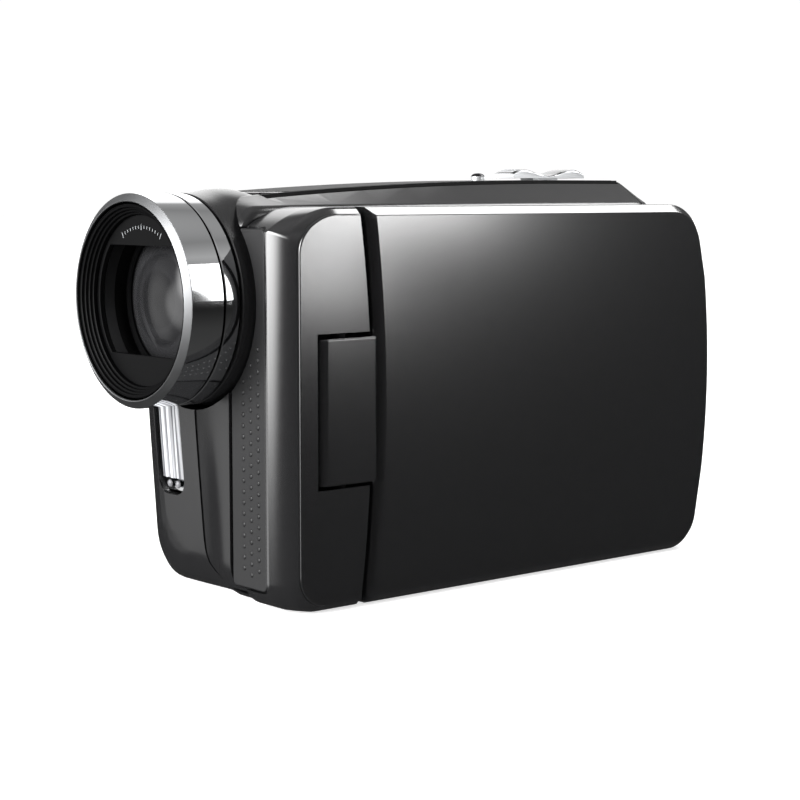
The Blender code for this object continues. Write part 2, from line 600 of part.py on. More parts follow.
def screws(right, rear, steel):
    """Countersunk case screws in the base and the rear."""
    for name, x, y in (("base_screw_front", -12.0, -28.0), ("base_screw_rear", 6.0, 40.0)):
        combine(right, disc(name + "_cut", 1.9, -3.0, 1.1, (x, y, 0), steel, "Z", 16))
        disc(name, 1.55, 0.25, 0.8, (x, y, 0), steel, "Z", 16)
    for name, x, z in (("rear_screw_upper", -0.4, 50.0), ("rear_screw_lower", -10.5, 9.0)):
        combine(rear, disc(name + "_cut", 1.9, BODY_REAR - 1.1, 60, (x, 0, z), steel, steps=16))
        disc(name, 1.55, BODY_REAR - 0.8, BODY_REAR - 0.25, (x, 0, z), steel, steps=16)


# --- Hand strap --------------------------------------------------------------
def strap_curve(s):
    """Middle line of the strap, s from 0 at the front bar to 1 at the rear one."""
    y = STRAP_FRONT_Y + (STRAP_REAR_Y - STRAP_FRONT_Y) * s
    return (STRAP_BAR_X + 0.4 - STRAP_BULGE * (1 - abs(2 * s - 1) ** 2.4), y)


def band(path, thickness):
    """Closed outline of a strip of constant thickness along a path."""
    left, right = [], []
    for i, point in enumerate(path):
        before, after = Vector(path[max(i - 1, 0)]), Vector(path[min(i + 1, len(path) - 1)])
        along = (after - before).normalized()
        side = Vector((-along.y, along.x)) * (thickness / 2)
        left.append(tuple(Vector(point) + side))
        right.append(tuple(Vector(point) - side))
    return right + list(reversed(left))


def strap_offset(s, distance):
    """A point beside the strap's middle line, at a distance towards the body."""
    before, after = Vector(strap_curve(s - 0.01)), Vector(strap_curve(s + 0.01))
    along = (after - before).normalized()
    return tuple(Vector(strap_curve(s)) + Vector((along.y, -along.x)) * distance)


def strap_path():
    """Fold at the front bar, the long bow over the hand, fold at the rear bar."""
    wrap = 2.1
    main = [strap_curve(s / 100) for s in (8, 11, 15, 20, 27, 35, 43, 50)]
    fold = [strap_offset(s / 100, -STRAP_THICK - 0.55) for s in (21, 17, 13)]
    for step in range(7):
        turn = math.radians(175 - 245 * step / 6)
        fold.append((STRAP_BAR_X + wrap * math.cos(turn), STRAP_FRONT_Y - wrap * math.sin(turn)))
    front = fold + main
    rear = [(x, STRAP_FRONT_Y + STRAP_REAR_Y - y) for x, y in reversed(front[:-1])]
    return front + rear


def hand_strap(steel, webbing, padding):
    """The strap, its pad and the two wire lugs on the side of the body."""
    outline = band(strap_path(), STRAP_THICK)
    prism("hand_strap", outline, "Z", STRAP_Z - STRAP_HALF, STRAP_Z + STRAP_HALF, webbing)
    inward = STRAP_THICK / 2 + PAD_THICK / 2 + GAP
    span = STRAP_REAR_Y - STRAP_FRONT_Y
    first, last = (PAD_FRONT_Y - STRAP_FRONT_Y) / span, (PAD_REAR_Y - STRAP_FRONT_Y) / span
    path = [strap_offset(first + (last - first) * i / 10, inward) for i in range(11)]
    prism("strap_pad", band(path, PAD_THICK), "Z", STRAP_Z - PAD_HALF, STRAP_Z + PAD_HALF, padding)
    for name, y in (("strap_lug_front", STRAP_FRONT_Y), ("strap_lug_rear", STRAP_REAR_Y)):
        frame = rectangle(STRAP_BAR_X - 0.9, STRAP_Z - 10.4, BODY_RIGHT - GAP, STRAP_Z + 10.4, 1.0, 2)
        lug = prism(name, frame, "Y", y - 0.9, y + 0.9, steel)
        hole = rectangle(STRAP_BAR_X + 0.9, STRAP_Z - 8.6, BODY_RIGHT - GAP - 0.6, STRAP_Z + 8.6, 0.5, 2)
        combine(lug, prism(name + "_cut", hole, "Y", y - 5, y + 5, steel))


def front_openings(left, right, frame, strip, dark):
    """Cuts the barrel's hole and the rooms for the strip, the lamp and the bay buttons."""
    barrel_hole = disc("barrel_hole_cut", 17.2, -60, -30, (0, 0, LENS_Z), dark, steps=48)
    for piece in (left, right, frame, strip):
        combine(piece, barrel_hole)
    strip_room = box("strip_cut", (STRIP_LEFT - GAP, -50, STRIP_LOW - GAP),
                     (STRIP_RIGHT + GAP, STRIP_BACK + GAP, STRIP_HIGH + GAP), dark)
    for piece in (left, frame):
        combine(piece, strip_room)
    half = LAMP_WIDTH / 2 + GAP
    combine(right, box("lamp_cut", (LAMP_X - half, -50, LAMP_LOW - GAP),
                       (LAMP_X + half, BODY_FRONT + 3, LAMP_HIGH + GAP), dark))
    for name, y in BAY_BUTTONS:
        centre = (0, y, BAY_BUTTON_Z)
        combine(left, disc(name + "_hole_cut", BAY_BUTTON_RADIUS + GAP, 5, 20, centre, dark, "X", 20))


def main():
    for old in list(bpy.data.objects):
        bpy.data.objects.remove(old, do_unlink=True)

    dark = material("charcoal_gloss", (0.035, 0.036, 0.038), 0.28)
    satin = material("charcoal_satin", (0.02, 0.02, 0.022), 0.42)
    black = material("black_plastic", (0.008, 0.008, 0.009), 0.45)
    chrome = material("polished_chrome", (0.85, 0.86, 0.88), 0.08, 1.0)
    silver = material("silver_plastic", (0.62, 0.63, 0.65), 0.25, 0.7)
    steel = material("bright_steel", (0.6, 0.6, 0.62), 0.3, 1.0)
    glass = material("coated_glass", (0.05, 0.06, 0.08), 0.03, 0.0, 0.6)
    clear = material("frosted_lens", (0.85, 0.87, 0.9), 0.2, 0.0, 0.3)
    board = material("circuit_board", (0.02, 0.12, 0.05), 0.5)
    cell = material("battery_wrap", (0.03, 0.03, 0.05), 0.5)
    rubber = material("soft_rubber", (0.02, 0.02, 0.02), 0.7)

    left, right, rear = casings(dark)
    front_openings(left, right, side_frame(dark), grip_strip(dark), dark)
    top_cover(satin)
    screen_panel(dark, black, glass)
    hinge(dark, steel)
    lens(dark, chrome, black, glass)
    lens_drive(steel, black, glass)
    electronics(board, black, cell)
    lamp(clear, chrome)
    controls(silver, black, steel)
    rear_fittings(rear, dark, rubber, clear)
    hand_strap(steel, rubber, black)
    screws(right, rear, steel)
    base_fittings(right, dark, steel)


main()
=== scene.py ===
"""Finished looks for the compact camcorder: detailed shells, optics, controls and hand strap
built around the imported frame, with studio light and a three-quarter front camera."""
import math

import bmesh
import bpy
from mathutils import Matrix, Vector


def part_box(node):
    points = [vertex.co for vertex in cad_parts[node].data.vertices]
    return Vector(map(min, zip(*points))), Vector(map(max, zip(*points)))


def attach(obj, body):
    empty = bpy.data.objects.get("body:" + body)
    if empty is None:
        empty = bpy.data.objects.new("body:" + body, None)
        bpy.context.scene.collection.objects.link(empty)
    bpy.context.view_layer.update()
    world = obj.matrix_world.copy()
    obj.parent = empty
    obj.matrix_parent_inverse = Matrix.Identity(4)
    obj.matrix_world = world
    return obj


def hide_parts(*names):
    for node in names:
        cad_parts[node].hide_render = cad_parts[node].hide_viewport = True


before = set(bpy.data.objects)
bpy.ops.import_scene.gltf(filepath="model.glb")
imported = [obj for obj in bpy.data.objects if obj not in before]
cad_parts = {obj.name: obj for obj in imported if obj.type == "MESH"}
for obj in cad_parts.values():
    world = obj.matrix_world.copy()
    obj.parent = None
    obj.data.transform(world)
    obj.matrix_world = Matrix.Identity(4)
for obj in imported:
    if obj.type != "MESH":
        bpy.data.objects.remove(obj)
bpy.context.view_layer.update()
bpy.context.scene.view_settings.view_transform = "Standard"

MM = 0.001
GAP = 0.3                   # seam between neighbouring shells, mm
SEAM_GAP = 0.55             # the wider front seam between the two casings, mm


def cad(node):
    """A node's lowest and highest corners in millimetres."""
    low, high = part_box(node)
    return Vector(low) / MM, Vector(high) / MM


# --- Sizes read from the frame, in millimetres ---------------------------------
RIGHT_LOW = cad("right_casing")[0]
REAR_LOW, REAR_HIGH = cad("rear_cover")
POD_LOW, POD_HIGH = cad("side_frame")
PANEL_LOW, PANEL_HIGH = cad("lcd_cover")
RING_LOW, RING_HIGH = cad("lens_front_ring")
BODY_FRONT, BODY_REAR = RIGHT_LOW.y, REAR_HIGH.y
BODY_RIGHT, BAY_WALL = RIGHT_LOW.x, cad("left_casing")[1].x
REAR_SPLIT = REAR_LOW.y
LENS_Z = (RING_LOW.z + RING_HIGH.z) / 2
RING_RADIUS = (RING_HIGH.x - RING_LOW.x) / 2
LENS_FRONT, RING_SPLIT = RING_LOW.y, RING_HIGH.y
POD_FACE = PANEL_HIGH.x
POD_MIDDLE = (POD_LOW.z + POD_HIGH.z) / 2
POD_HALF = (POD_HIGH.z - POD_LOW.z) / 2
LENS_CENTRE = (0, 0, LENS_Z)

# --- Shape constants shared with the design, in millimetres --------------------
WALL = 1.8
FRONT_ROUND, REAR_ROUND = 10.0, 7.0     # corners of the casing seen from above
BASE_ROUND, SIDE_ROUND = 6.5, 8.0       # its lower and upper edges on the grip side
SHOULDER_X, SHOULDER_Z = 7.0, 60.2
TOP_Z, TOP_FLAT_FROM, TOP_RISE = 64.5, 30.0, 0.00057
JOINT_X = 0.9
SEAM_END, SEAM_MID, SEAM_WIDTH = -28.75, -26.7, 1.65   # curved seam between pod and panel
POD_BEVEL = 1.25
FRAME_SETBACK, FRAME_CORNER = 3.0, 4.5
CROWN_RISE, CROWN_RUN = 3.6, 9.8        # slope of the fixed part's top towards its front edge
FACE_RISE, FACE_RUN = 5.6, 7.2          # upper front corner of its flat face
MASK_FACE, WINDOW_RADIUS, WINDOW_HALF = -51.3, 12.2, 8.3
PANEL_REAR, PANEL_SAG = 51.0, 3.2
HINGE_X, HINGE_Y = POD_FACE - 3.0, -30.8
HINGE_LOW, HINGE_HIGH = 19.0, 41.0
HINGE_CENTRE, SHAFT_CENTRE = (HINGE_X, HINGE_Y, 0), (HINGE_X - 1.3, 0, 30)
BLOCK_RADIUS, POCKET_RADIUS, PIN_BORE, SHAFT_BORE = 5.4, 6.8, 1.5, 1.9
BARREL_ROOM, SCREW_ROOM = 17.15, 1.9    # radii cleared for the lens barrel and a screw head
ROCKER_BASE, ROCKER_PIVOT_Z, HUMP_AT = 64.9, 63.6, 0.72
BAY_BUTTONS = ("power_button", "mode_button", "play_button")


# --- Node-material helpers -----------------------------------------------------
def add_node(tree, kind, source=None, operation=None, **inputs):
    """Adds a shader node with the given input values, its first input fed by one source."""
    made = tree.nodes.new("ShaderNode" + kind)
    if operation:
        made.operation = operation
    for name, value in inputs.items():
        made.inputs[name.replace("_", " ")].default_value = value
    if source is not None:
        tree.links.new(source, made.inputs[0])
    return made


class Look:
    """A Principled material with short calls for its texture nodes."""

    def __init__(self, name, colour, roughness, metallic=0.0, **sockets):
        self.material = bpy.data.materials.new(name)
        self.material.use_nodes = True
        self.links = self.material.node_tree.links
        self.shader = self.material.node_tree.nodes["Principled BSDF"]
        self.colour = colour
        self.set("Base Color", (*colour, 1.0))
        self.set("Roughness", roughness)
        self.set("Metallic", metallic)
        for socket, value in sockets.items():
            self.set(socket.replace("_", " "), value)
        self.place = self.node("TexCoord").outputs["Object"]
        self.height = None

    def set(self, socket, value):
        self.shader.inputs[socket].default_value = value

    def node(self, kind, source=None, operation=None, **inputs):
        return add_node(self.material.node_tree, kind, source, operation, **inputs)

    def noise(self, scale, detail=3.0, source=None):
        return self.node("TexNoise", source or self.place, Scale=scale, Detail=detail).outputs["Fac"]

    def span(self, value, low, high, start=0.3, end=0.7):
        return self.node("MapRange", value, From_Min=start, From_Max=end, To_Min=low,
                         To_Max=high).outputs["Result"]

    def tint(self, factor, light):
        """Mixes the base colour towards a lighter or darker one."""
        made = self.node("Mix", factor)
        made.data_type = "RGBA"
        made.inputs["A"].default_value = (*self.colour, 1.0)
        made.inputs["B"].default_value = (*light, 1.0)
        self.links.new(made.outputs["Result"], self.shader.inputs["Base Color"])
        return self

    def rough(self, value):
        self.links.new(value, self.shader.inputs["Roughness"])
        return self

    def bump(self, value, distance, strength=1.0):
        made = self.node("Bump", Distance=distance, Strength=strength)
        self.links.new(value, made.inputs["Height"])
        if self.height is not None:
            self.links.new(self.height, made.inputs["Normal"])
        self.height = made.outputs["Normal"]
        self.links.new(self.height, self.shader.inputs["Normal"])
        return self


def moulded(name, colour, roughness, grain=0.000004, level=0.5, spread=0.05):
    """Moulded plastic: fine spark-erosion grain, cloudy gloss, faint colour drift."""
    look = Look(name, colour, roughness)
    look.set("Specular IOR Level", level)
    cloud = look.noise(700.0, 3.0)
    look.rough(look.span(cloud, roughness - spread / 2, roughness + spread / 2))
    look.tint(look.span(look.noise(35.0, 1.0), 0.0, 8 * spread), tuple(c * 1.25 for c in colour))
    return look.bump(look.noise(5200.0, 2.0), grain, 0.5)


def metal(name, colour, roughness, spread=0.03, brushed=None):
    """Plated or turned metal with hairline variation."""
    look = Look(name, colour, roughness, 1.0)
    fine = look.noise(420.0, 4.0)
    if brushed:
        fine = look.noise(900.0, 3.0, look.node("Mapping", look.place, Scale=brushed).outputs["Vector"])
        look.bump(fine, 0.000006, 0.4)
    look.rough(look.span(fine, roughness, roughness + spread))
    return look.tint(look.span(look.noise(60.0, 1.0), 0.0, 0.4), tuple(c * 0.9 for c in colour))


CASING = moulded("casing_charcoal", (0.009, 0.009, 0.0095), 0.24, grain=0.000002, level=0.75, spread=0.03)
POD = moulded("pod_gloss", (0.010, 0.010, 0.0105), 0.16, grain=0.0000005, level=0.95, spread=0.01)
TRIM = moulded("top_satin", (0.008, 0.008, 0.0085), 0.55, level=0.15)
STRIP = moulded("strip_matt", (0.009, 0.009, 0.0095), 0.5, grain=0.00001, level=0.4)
BLACK = moulded("baffle_black", (0.006, 0.006, 0.0065), 0.42, grain=0.000008)
RUBBER = moulded("soft_rubber", (0.014, 0.014, 0.014), 0.62, grain=0.000015)
CHROME = metal("plated_chrome", (0.88, 0.89, 0.9), 0.045, 0.01)
CHAMFER = metal("turned_chamfer", (0.2, 0.203, 0.207), 0.42, 0.04)
SILVER = metal("satin_silver", (0.72, 0.73, 0.75), 0.2, 0.08)
PEARL = moulded("pearl_silver", (0.6, 0.61, 0.62), 0.3, level=0.6)
PEARL.set("Metallic", 0.45)
SMOKED = metal("smoked_chrome", (0.06, 0.06, 0.062), 0.2)
STEEL = metal("turned_steel", (0.55, 0.55, 0.56), 0.25, 0.1, (1.0, 1.0, 12.0))


# --- Mesh helpers --------------------------------------------------------------
def inset(outline, distance):
    """Moves every edge of a counter-clockwise outline inward."""
    if not distance:
        return list(outline)
    moved, count = [], len(outline)
    for i in range(count):
        before, here, after = (Vector(outline[k % count]) for k in (i - 1, i, i + 1))
        first, second = (here - before).normalized(), (after - here).normalized()
        normal = Vector((-first.y - second.y, first.x + second.x))
        moved.append(tuple(here + normal * (distance / max(1.0 + first.dot(second), 0.3))))
    return moved


def rounded(corners, segments=8):
    """Rounds a counter-clockwise polygon given as (u, v, radius) corners."""
    points, count = [], len(corners)
    for i in range(count):
        before, here = Vector(corners[i - 1][:2]), Vector(corners[i][:2])
        after, radius = Vector(corners[(i + 1) % count][:2]), corners[i][2]
        if radius <= 0:
            points.append(tuple(here))
            continue
        first, second = (before - here).normalized(), (after - here).normalized()
        half = first.angle(second) / 2
        centre = here + (first + second).normalized() * (radius / math.sin(half))
        start = here + first * (radius / math.tan(half)) - centre
        turn = math.pi - 2 * half
        if first.cross(second) > 0:
            turn = -turn
        for step in range(segments + 1):
            points.append(tuple(centre + Matrix.Rotation(turn * step / segments, 2) @ start))
    return points


def rectangle(u0, v0, u1, v1, radius=0.0, segments=8):
    return rounded([(u0, v0, radius), (u1, v0, radius), (u1, v1, radius), (u0, v1, radius)], segments)


def from_bmesh(name, work, look, angle=30.0):
    bmesh.ops.recalc_face_normals(work, faces=work.faces)
    mesh = bpy.data.meshes.new(name)
    work.to_mesh(mesh)
    work.free()
    mesh.materials.append(look.material)
    mesh.shade_smooth()
    mesh.set_sharp_from_angle(angle=math.radians(angle))
    made = bpy.data.objects.new(name, mesh)
    bpy.context.scene.collection.objects.link(made)
    return made


def skin(work, rings, closed=False):
    """Joins neighbouring rings of vertices with faces; a closed run joins the last to the first."""
    for first, second in zip(rings, rings[1:] + rings[:1] if closed else rings[1:]):
        for i in range(len(first)):
            j = (i + 1) % len(first)
            corners = list(dict.fromkeys((first[i], first[j], second[j], second[i])))
            if len(corners) > 2:
                work.faces.new(corners)


def cap_ends(work, rings):
    work.faces.new(rings[0])
    work.faces.new(list(reversed(rings[-1])))


def loft(name, rings, look, angle=30.0):
    """Skins a list of rings of 3-D points (mm) and caps both ends."""
    work = bmesh.new()
    made = [[work.verts.new(Vector(p) * MM) for p in ring] for ring in rings]
    skin(work, made)
    cap_ends(work, made)
    return from_bmesh(name, work, look, angle)


def place(axis, u, v, w):
    return {"X": (w, u, v), "Y": (u, w, v), "Z": (u, v, w)}[axis]


def edge_levels(low, high, low_round, high_round, steps=3):
    """Heights and insets that round the two ends of an extrusion."""
    turns = [math.pi / 2 * step / steps for step in range(steps + 1)]
    start = [(low + low_round * (1 - math.cos(a)), low_round * (1 - math.sin(a))) for a in turns]
    end = [(high - high_round * (1 - math.sin(a)), high_round * (1 - math.cos(a))) for a in turns]
    return (start if low_round else [(low, 0.0)]) + (end if high_round else [(high, 0.0)])


def prism(name, outline, axis, low, high, look, rounds=(0.0, 0.0), angle=30.0):
    rings = [[place(axis, u, v, w) for u, v in inset(outline, shrink)]
             for w, shrink in edge_levels(low, high, *rounds)]
    return loft(name, rings, look, angle)


def turned(name, profile, centre, look, axis="Y", steps=96, angle=30.0):
    """Spins a closed profile of (radius, distance) points about an axis."""
    work = bmesh.new()
    rings = []
    for radius, along in profile:
        turns = [2 * math.pi * i / steps for i in range(steps if radius > 1e-6 else 1)]
        ring = [work.verts.new((Vector(centre) + Vector(
            place(axis, radius * math.cos(a), radius * math.sin(a), along))) * MM) for a in turns]
        rings.append(ring * (steps // len(ring)))
    skin(work, rings, closed=profile[0][0] > 1e-6)
    return from_bmesh(name, work, look, angle)


def disc(name, radius, low, high, centre, look, axis="Y", steps=64, edge=0.0):
    profile = [(0, low), (radius, low)]
    for step in range(5 if edge else 1):
        turn = math.pi / 2 * step / 4
        profile.append((radius - edge * (1 - math.cos(turn)), high - edge * (1 - math.sin(turn))))
    profile.append((0, high))
    return turned(name, profile, centre, look, axis, steps)


def box(name, low, high, look):
    outline = rectangle(low[0], low[1], high[0], high[1])
    return prism(name, outline, "Z", low[2], high[2], look)


def outline_of(node, axis, radius=0.0, grow=0.0):
    """The rounded outline of a node's box seen along an axis, grown on every side."""
    low, high = cad(node)
    u, v = {"X": (1, 2), "Y": (0, 2), "Z": (0, 1)}[axis]
    return rectangle(low[u] - grow, low[v] - grow, high[u] + grow, high[v] + grow, radius)


def centre_of(node, axis):
    """The middle of a node's box, with no distance along one axis."""
    low, high = cad(node)
    middle = (low + high) / 2
    middle["XYZ".index(axis)] = 0.0
    return middle


def room_for(node, axis, low, high, look, radius):
    """A cutter like a node's box with a gap around it, between two levels."""
    return prism(node + "_room", outline_of(node, axis, radius, GAP), axis, low, high, look)


def combine(target, tool, operation="DIFFERENCE"):
    change = target.modifiers.new(operation, "BOOLEAN")
    change.operation, change.solver, change.object = operation, "EXACT", tool
    tool.hide_render = True
    return target


def freeze(piece, edge=0.0, limit=38.0, angle=30.0):
    """Applies the modifiers, softens the seam edges and hands back the helper solids for removal."""
    tools = [m.object for m in piece.modifiers if m.type == "BOOLEAN"]
    if edge:
        soft = piece.modifiers.new("edge", "BEVEL")
        soft.width, soft.segments, soft.limit_method = edge * MM, 2, "ANGLE"
        soft.angle_limit, soft.use_clamp_overlap = math.radians(limit), True
    graph = bpy.context.evaluated_depsgraph_get()
    mesh = bpy.data.meshes.new_from_object(piece.evaluated_get(graph))
    piece.modifiers.clear()
    piece.data = mesh
    mesh.shade_smooth()
    mesh.set_sharp_from_angle(angle=math.radians(angle))
    return tools


def discard(tools):
    for tool in {t.name: t for t in tools}.values():
        bpy.data.objects.remove(tool, do_unlink=True)


def paint(piece, look, chosen):
    """Gives the faces chosen by their centre (mm) and normal a second material: a second finish, or a
    painted shade line.
    """
    piece.data.materials.append(look.material)
    for face in piece.data.polygons:
        if chosen(face.center / MM, face.normal):
            face.material_index = len(piece.data.materials) - 1


def settle(piece, body, look_slot, *nodes):
    """Rides a piece on its body, hides what it stands for and, unless it is strap, pad or glass, keeps its
    flat faces crisp with weighted normals.
    """
    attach(piece, body)
    if nodes:
        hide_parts(*nodes)
    if look_slot not in ("webbing", "padding", "lens_glass"):
        crisp = piece.modifiers.new("normals", "WEIGHTED_NORMAL")
        crisp.keep_sharp = True
    return piece


# --- Casing --------------------------------------------------------------------
def top_height(y):
    return TOP_Z - TOP_RISE * max(0.0, TOP_FLAT_FROM - y) ** 2


def shrink(radius, distance):
    """How far a rounded edge has pulled in at a distance from the end face."""
    if distance >= radius:
        return 0.0
    return radius - math.sqrt(radius ** 2 - (radius - max(distance, 0.0)) ** 2)


def body_section(y, wall):
    front, rear = y - (BODY_FRONT + wall), (BODY_REAR - wall) - y
    right = BODY_RIGHT + wall + shrink(FRONT_ROUND - wall, front) + shrink(REAR_ROUND - wall, rear)
    base = wall + shrink(BASE_ROUND - wall, front) + shrink(4 - wall, rear)
    top = top_height(y) - wall - shrink(5 - wall, front) - shrink(6 - wall, rear)
    turn_in = shrink(6 - wall, rear)
    left = BAY_WALL - wall - turn_in
    shoulder = min(SHOULDER_Z - wall * 0.6, top - 1.0)
    corners = [(right, base, BASE_ROUND - wall), (left, base, 1.6), (left, shoulder, 2.0),
               (SHOULDER_X - 0.75 * turn_in, top, 2.0), (right, top, SIDE_ROUND - wall)]
    return [(x, y, z) for x, z in rounded(corners, 9)]


def body_solid(name, wall, look):
    turns = [math.pi / 2 * step / 9 for step in range(10)]
    front = [BODY_FRONT + wall + (FRONT_ROUND - wall) * (1 - math.cos(a)) for a in turns]
    rear = [BODY_REAR - wall - (REAR_ROUND - wall) * (1 - math.cos(a)) for a in reversed(turns)]
    middle = [-24.0 + 9.0 * step for step in range(7)]
    return loft(name, [body_section(y, wall) for y in front + middle + rear], look)


def seam_outline(side):
    """Front outline of the seam between the casings, hooked under the base."""
    low = side * SEAM_GAP / 2
    edge, far = JOINT_X + low, 30.0 * side
    curve = [(edge, 90.0), (edge, 10.0)]
    for step in range(1, 9):
        turn = math.pi / 2 * step / 9
        curve.append((edge + 8.5 * (1 - math.cos(turn)) ** 1.5, 10.0 - 8.0 * math.sin(turn)))
    curve += [(BAY_WALL - 2.6, 1.9 + low)]
    if side > 0:
        return list(reversed(curve + [(far, 1.9 + low), (far, 90.0)]))
    return curve + [(40.0, 1.9 + low), (40.0, -5.0), (far, -5.0), (far, 90.0)]


def casing_piece(name, region):
    piece = body_solid(name, 0.0, CASING)
    combine(piece, body_solid(name + "_hollow", WALL, CASING))
    return combine(piece, region, "INTERSECT")


def top_rail(name, across, heights, look):
    """A bar along the top edge of the shoulder, following the sagging top line."""
    rings = []
    for step in range(41):
        y = -34.5 + (REAR_SPLIT - 0.7 + 34.5) * step / 40
        base = top_height(y)
        rings.append([(x, y, base + heights[k]) for x, k in
                      ((across[0], 0), (across[1], 0), (across[1], 1), (across[0], 1))])
    return loft(name, rings, look)


def shape_front(piece, angle=30.0):
    """Leans the lower front back and crowns each half of it slightly."""
    work = bmesh.new()
    work.from_mesh(piece.data)
    cuts = [((1, 0, 0), -18.0 + 1.5 * k) for k in range(19)]
    cuts += [((0, 0, 1), 3.0 + 3.0 * k) for k in range(13)]
    for axis, level in cuts:
        near = [f for f in work.faces if f.calc_center_median().y < (BODY_FRONT + 9.0) * MM]
        parts = near + list({e for f in near for e in f.edges})
        parts += list({v for f in near for v in f.verts})
        bmesh.ops.bisect_plane(work, geom=parts, dist=1e-7, plane_co=Vector(axis) * level * MM,
                               plane_no=axis)
    for vert in work.verts:
        x, y, z = vert.co / MM
        depth = min(1.0, max(0.0, (BODY_FRONT + 9.9 - y) / 9.5))
        drop, inside = max(0.0, 36.0 - z), min(1.0, max(0.0, (9.0 - x) / 6.0))
        lean = 0.08 * drop ** 2 / (drop + 6.0) * inside ** 2 * (3 - 2 * inside)
        centre, half, crown = (-9.0, 9.9, 0.45) if x < JOINT_X else (5.0, 4.1, 0.3)
        crown *= min(1.0, max(0.0, (54.0 - z) / 12.0))
        lean -= crown * max(0.0, 1.0 - ((x - centre) / half) ** 2)
        vert.co.y += lean * depth * MM
    work.to_mesh(piece.data)
    work.free()
    piece.data.shade_smooth()
    piece.data.set_sharp_from_angle(angle=math.radians(angle))


def cut_right_shell(right):
    combine(right, room_for("lamp_window", "Y", -60, cad("lamp_window")[1].y + 2, CASING, 2.5))
    combine(right, room_for("battery_door", "Z", -5, 2.6, CASING, 1.0))
    combine(right, disc("bush_room", 5.3, -5, 5, centre_of("tripod_bush", "Z"), CASING, "Z", 48))
    for node in ("base_screw_front", "base_screw_rear"):
        combine(right, disc(node + "_room", SCREW_ROOM, -3, 1.1, centre_of(node, "Z"), CASING, "Z", 32))
    middle = centre_of("speaker", "X")
    for ring, count in ((0.0, 1), (2.2, 6), (4.4, 12)):
        for i in range(count):
            turn = 2 * math.pi * i / count
            spot = middle + Vector((0, ring * math.cos(turn), ring * math.sin(turn)))
            combine(right, disc("grille_%d_%d" % (count, i), 0.55, -22, -16.6, spot, CASING, "X", 12))


def cut_rear_shell(rear):
    low, high = cad("record_button")
    combine(rear, disc("record_room", (high.x - low.x) / 2 + GAP, 40, 60, centre_of("record_button", "Y"),
                       CASING))
    low, high = cad("mode_switch")
    travel = 2.5 + GAP
    slot = rectangle(low.x - 0.4, low.z - travel, high.x + 0.4, high.z + travel, 1.0)
    combine(rear, prism("switch_room", slot, "Y", BODY_REAR - 1.1, 60, CASING))
    combine(rear, room_for("port_cover", "Y", BODY_REAR - 1.0, 60, CASING, 1.2))
    combine(rear, disc("status_room", 1.5, 40, 60, centre_of("status_lamp", "Y"), CASING, steps=32))
    for node in ("rear_screw_upper", "rear_screw_lower"):
        combine(rear, disc(node + "_room", SCREW_ROOM, BODY_REAR - 1.1, 60, centre_of(node, "Y"), CASING,
                           steps=32))


def make_casings():
    split = REAR_SPLIT - GAP
    left = casing_piece("left_shell", prism("left_region", seam_outline(1), "Y", -70, split, CASING))
    right = casing_piece("right_shell", prism("right_region", seam_outline(-1), "Y", -70, split, CASING))
    rear = casing_piece("rear_shell", box("rear_region", (-40, REAR_SPLIT, -5), (40, 70, 80), CASING))
    slot = box("top_slot", (-11.3, -28.3, 60.5), (SHOULDER_X - 0.2, REAR_SPLIT + 1, 75), CASING)
    barrel = disc("barrel_hole", BARREL_ROOM, -70, -30, LENS_CENTRE, CASING)
    for piece in (left, right):
        combine(piece, slot)
        combine(piece, barrel)
    combine(left, top_rail("ledge_room", (5.5, 9.5), (-0.6, 9.0), CASING))
    combine(left, room_for("front_grip_strip", "Y", -60, cad("front_grip_strip")[1].y + GAP, CASING, 1.2))
    for node in BAY_BUTTONS:
        low, high = cad(node)
        radius = (high.z - low.z) / 2 + GAP
        combine(left, disc(node + "_hole", radius, 5, 20, centre_of(node, "X"), CASING, "X", 48))
    cut_right_shell(right)
    cut_rear_shell(rear)

    tools = []
    for piece, node in ((left, "left_casing"), (right, "right_casing"), (rear, "rear_cover")):
        tools += freeze(piece, 0.14)
        shape_front(piece)
        settle(piece, "body", "casing", node)
    discard(tools)
    settle(top_rail("trim_edge", (6.55, 7.2), (-0.55, 0.0), TRIM), "body", "top_trim")


def make_top_trim():
    low, high = cad("top_cover")
    rings = []
    for step in range(15):
        y = low.y + (high.y - low.y) * step / 14
        top = top_height(y) + 0.05
        corners = [(low.x, low.z, 0), (high.x, low.z, 0), (high.x, top, 0.7), (low.x, top, 0.7)]
        rings.append([(x, y, z) for x, z in rounded(corners, 5)])
    cover = loft("top_trim", rings, TRIM)
    recess = outline_of("zoom_rocker", "Z", 0.9, 0.4)
    combine(cover, prism("rocker_recess", recess, "Z", 63.4, 70, TRIM))
    centre = centre_of("zoom_rocker", "X").y
    combine(cover, box("rocker_slot", (-2.2, centre - 6, 55), (2.2, centre + 6, 70), TRIM))
    combine(cover, disc("rocker_pin_bore", 1.0, -3.8, 3.8, (0, centre, ROCKER_PIVOT_Z), TRIM, "X", 32))
    low, high = cad("photo_button")
    combine(cover, disc("photo_room", (high.x - low.x) / 2 + GAP, 55, 70, centre_of("photo_button", "Z"),
                        TRIM, "Z", 48))
    discard(freeze(cover, 0.15))
    settle(cover, "body", "top_trim", "top_cover")


# --- Screen pod ----------------------------------------------------------------
def seam_edge(offset, steps=24):
    points = []
    for step in range(steps + 1):
        z = POD_LOW.z + 2 * POD_HALF * step / steps
        bow = (SEAM_MID - SEAM_END) * (1 - ((z - POD_MIDDLE) / POD_HALF) ** 2)
        points.append((SEAM_END + bow + offset, z))
    return points


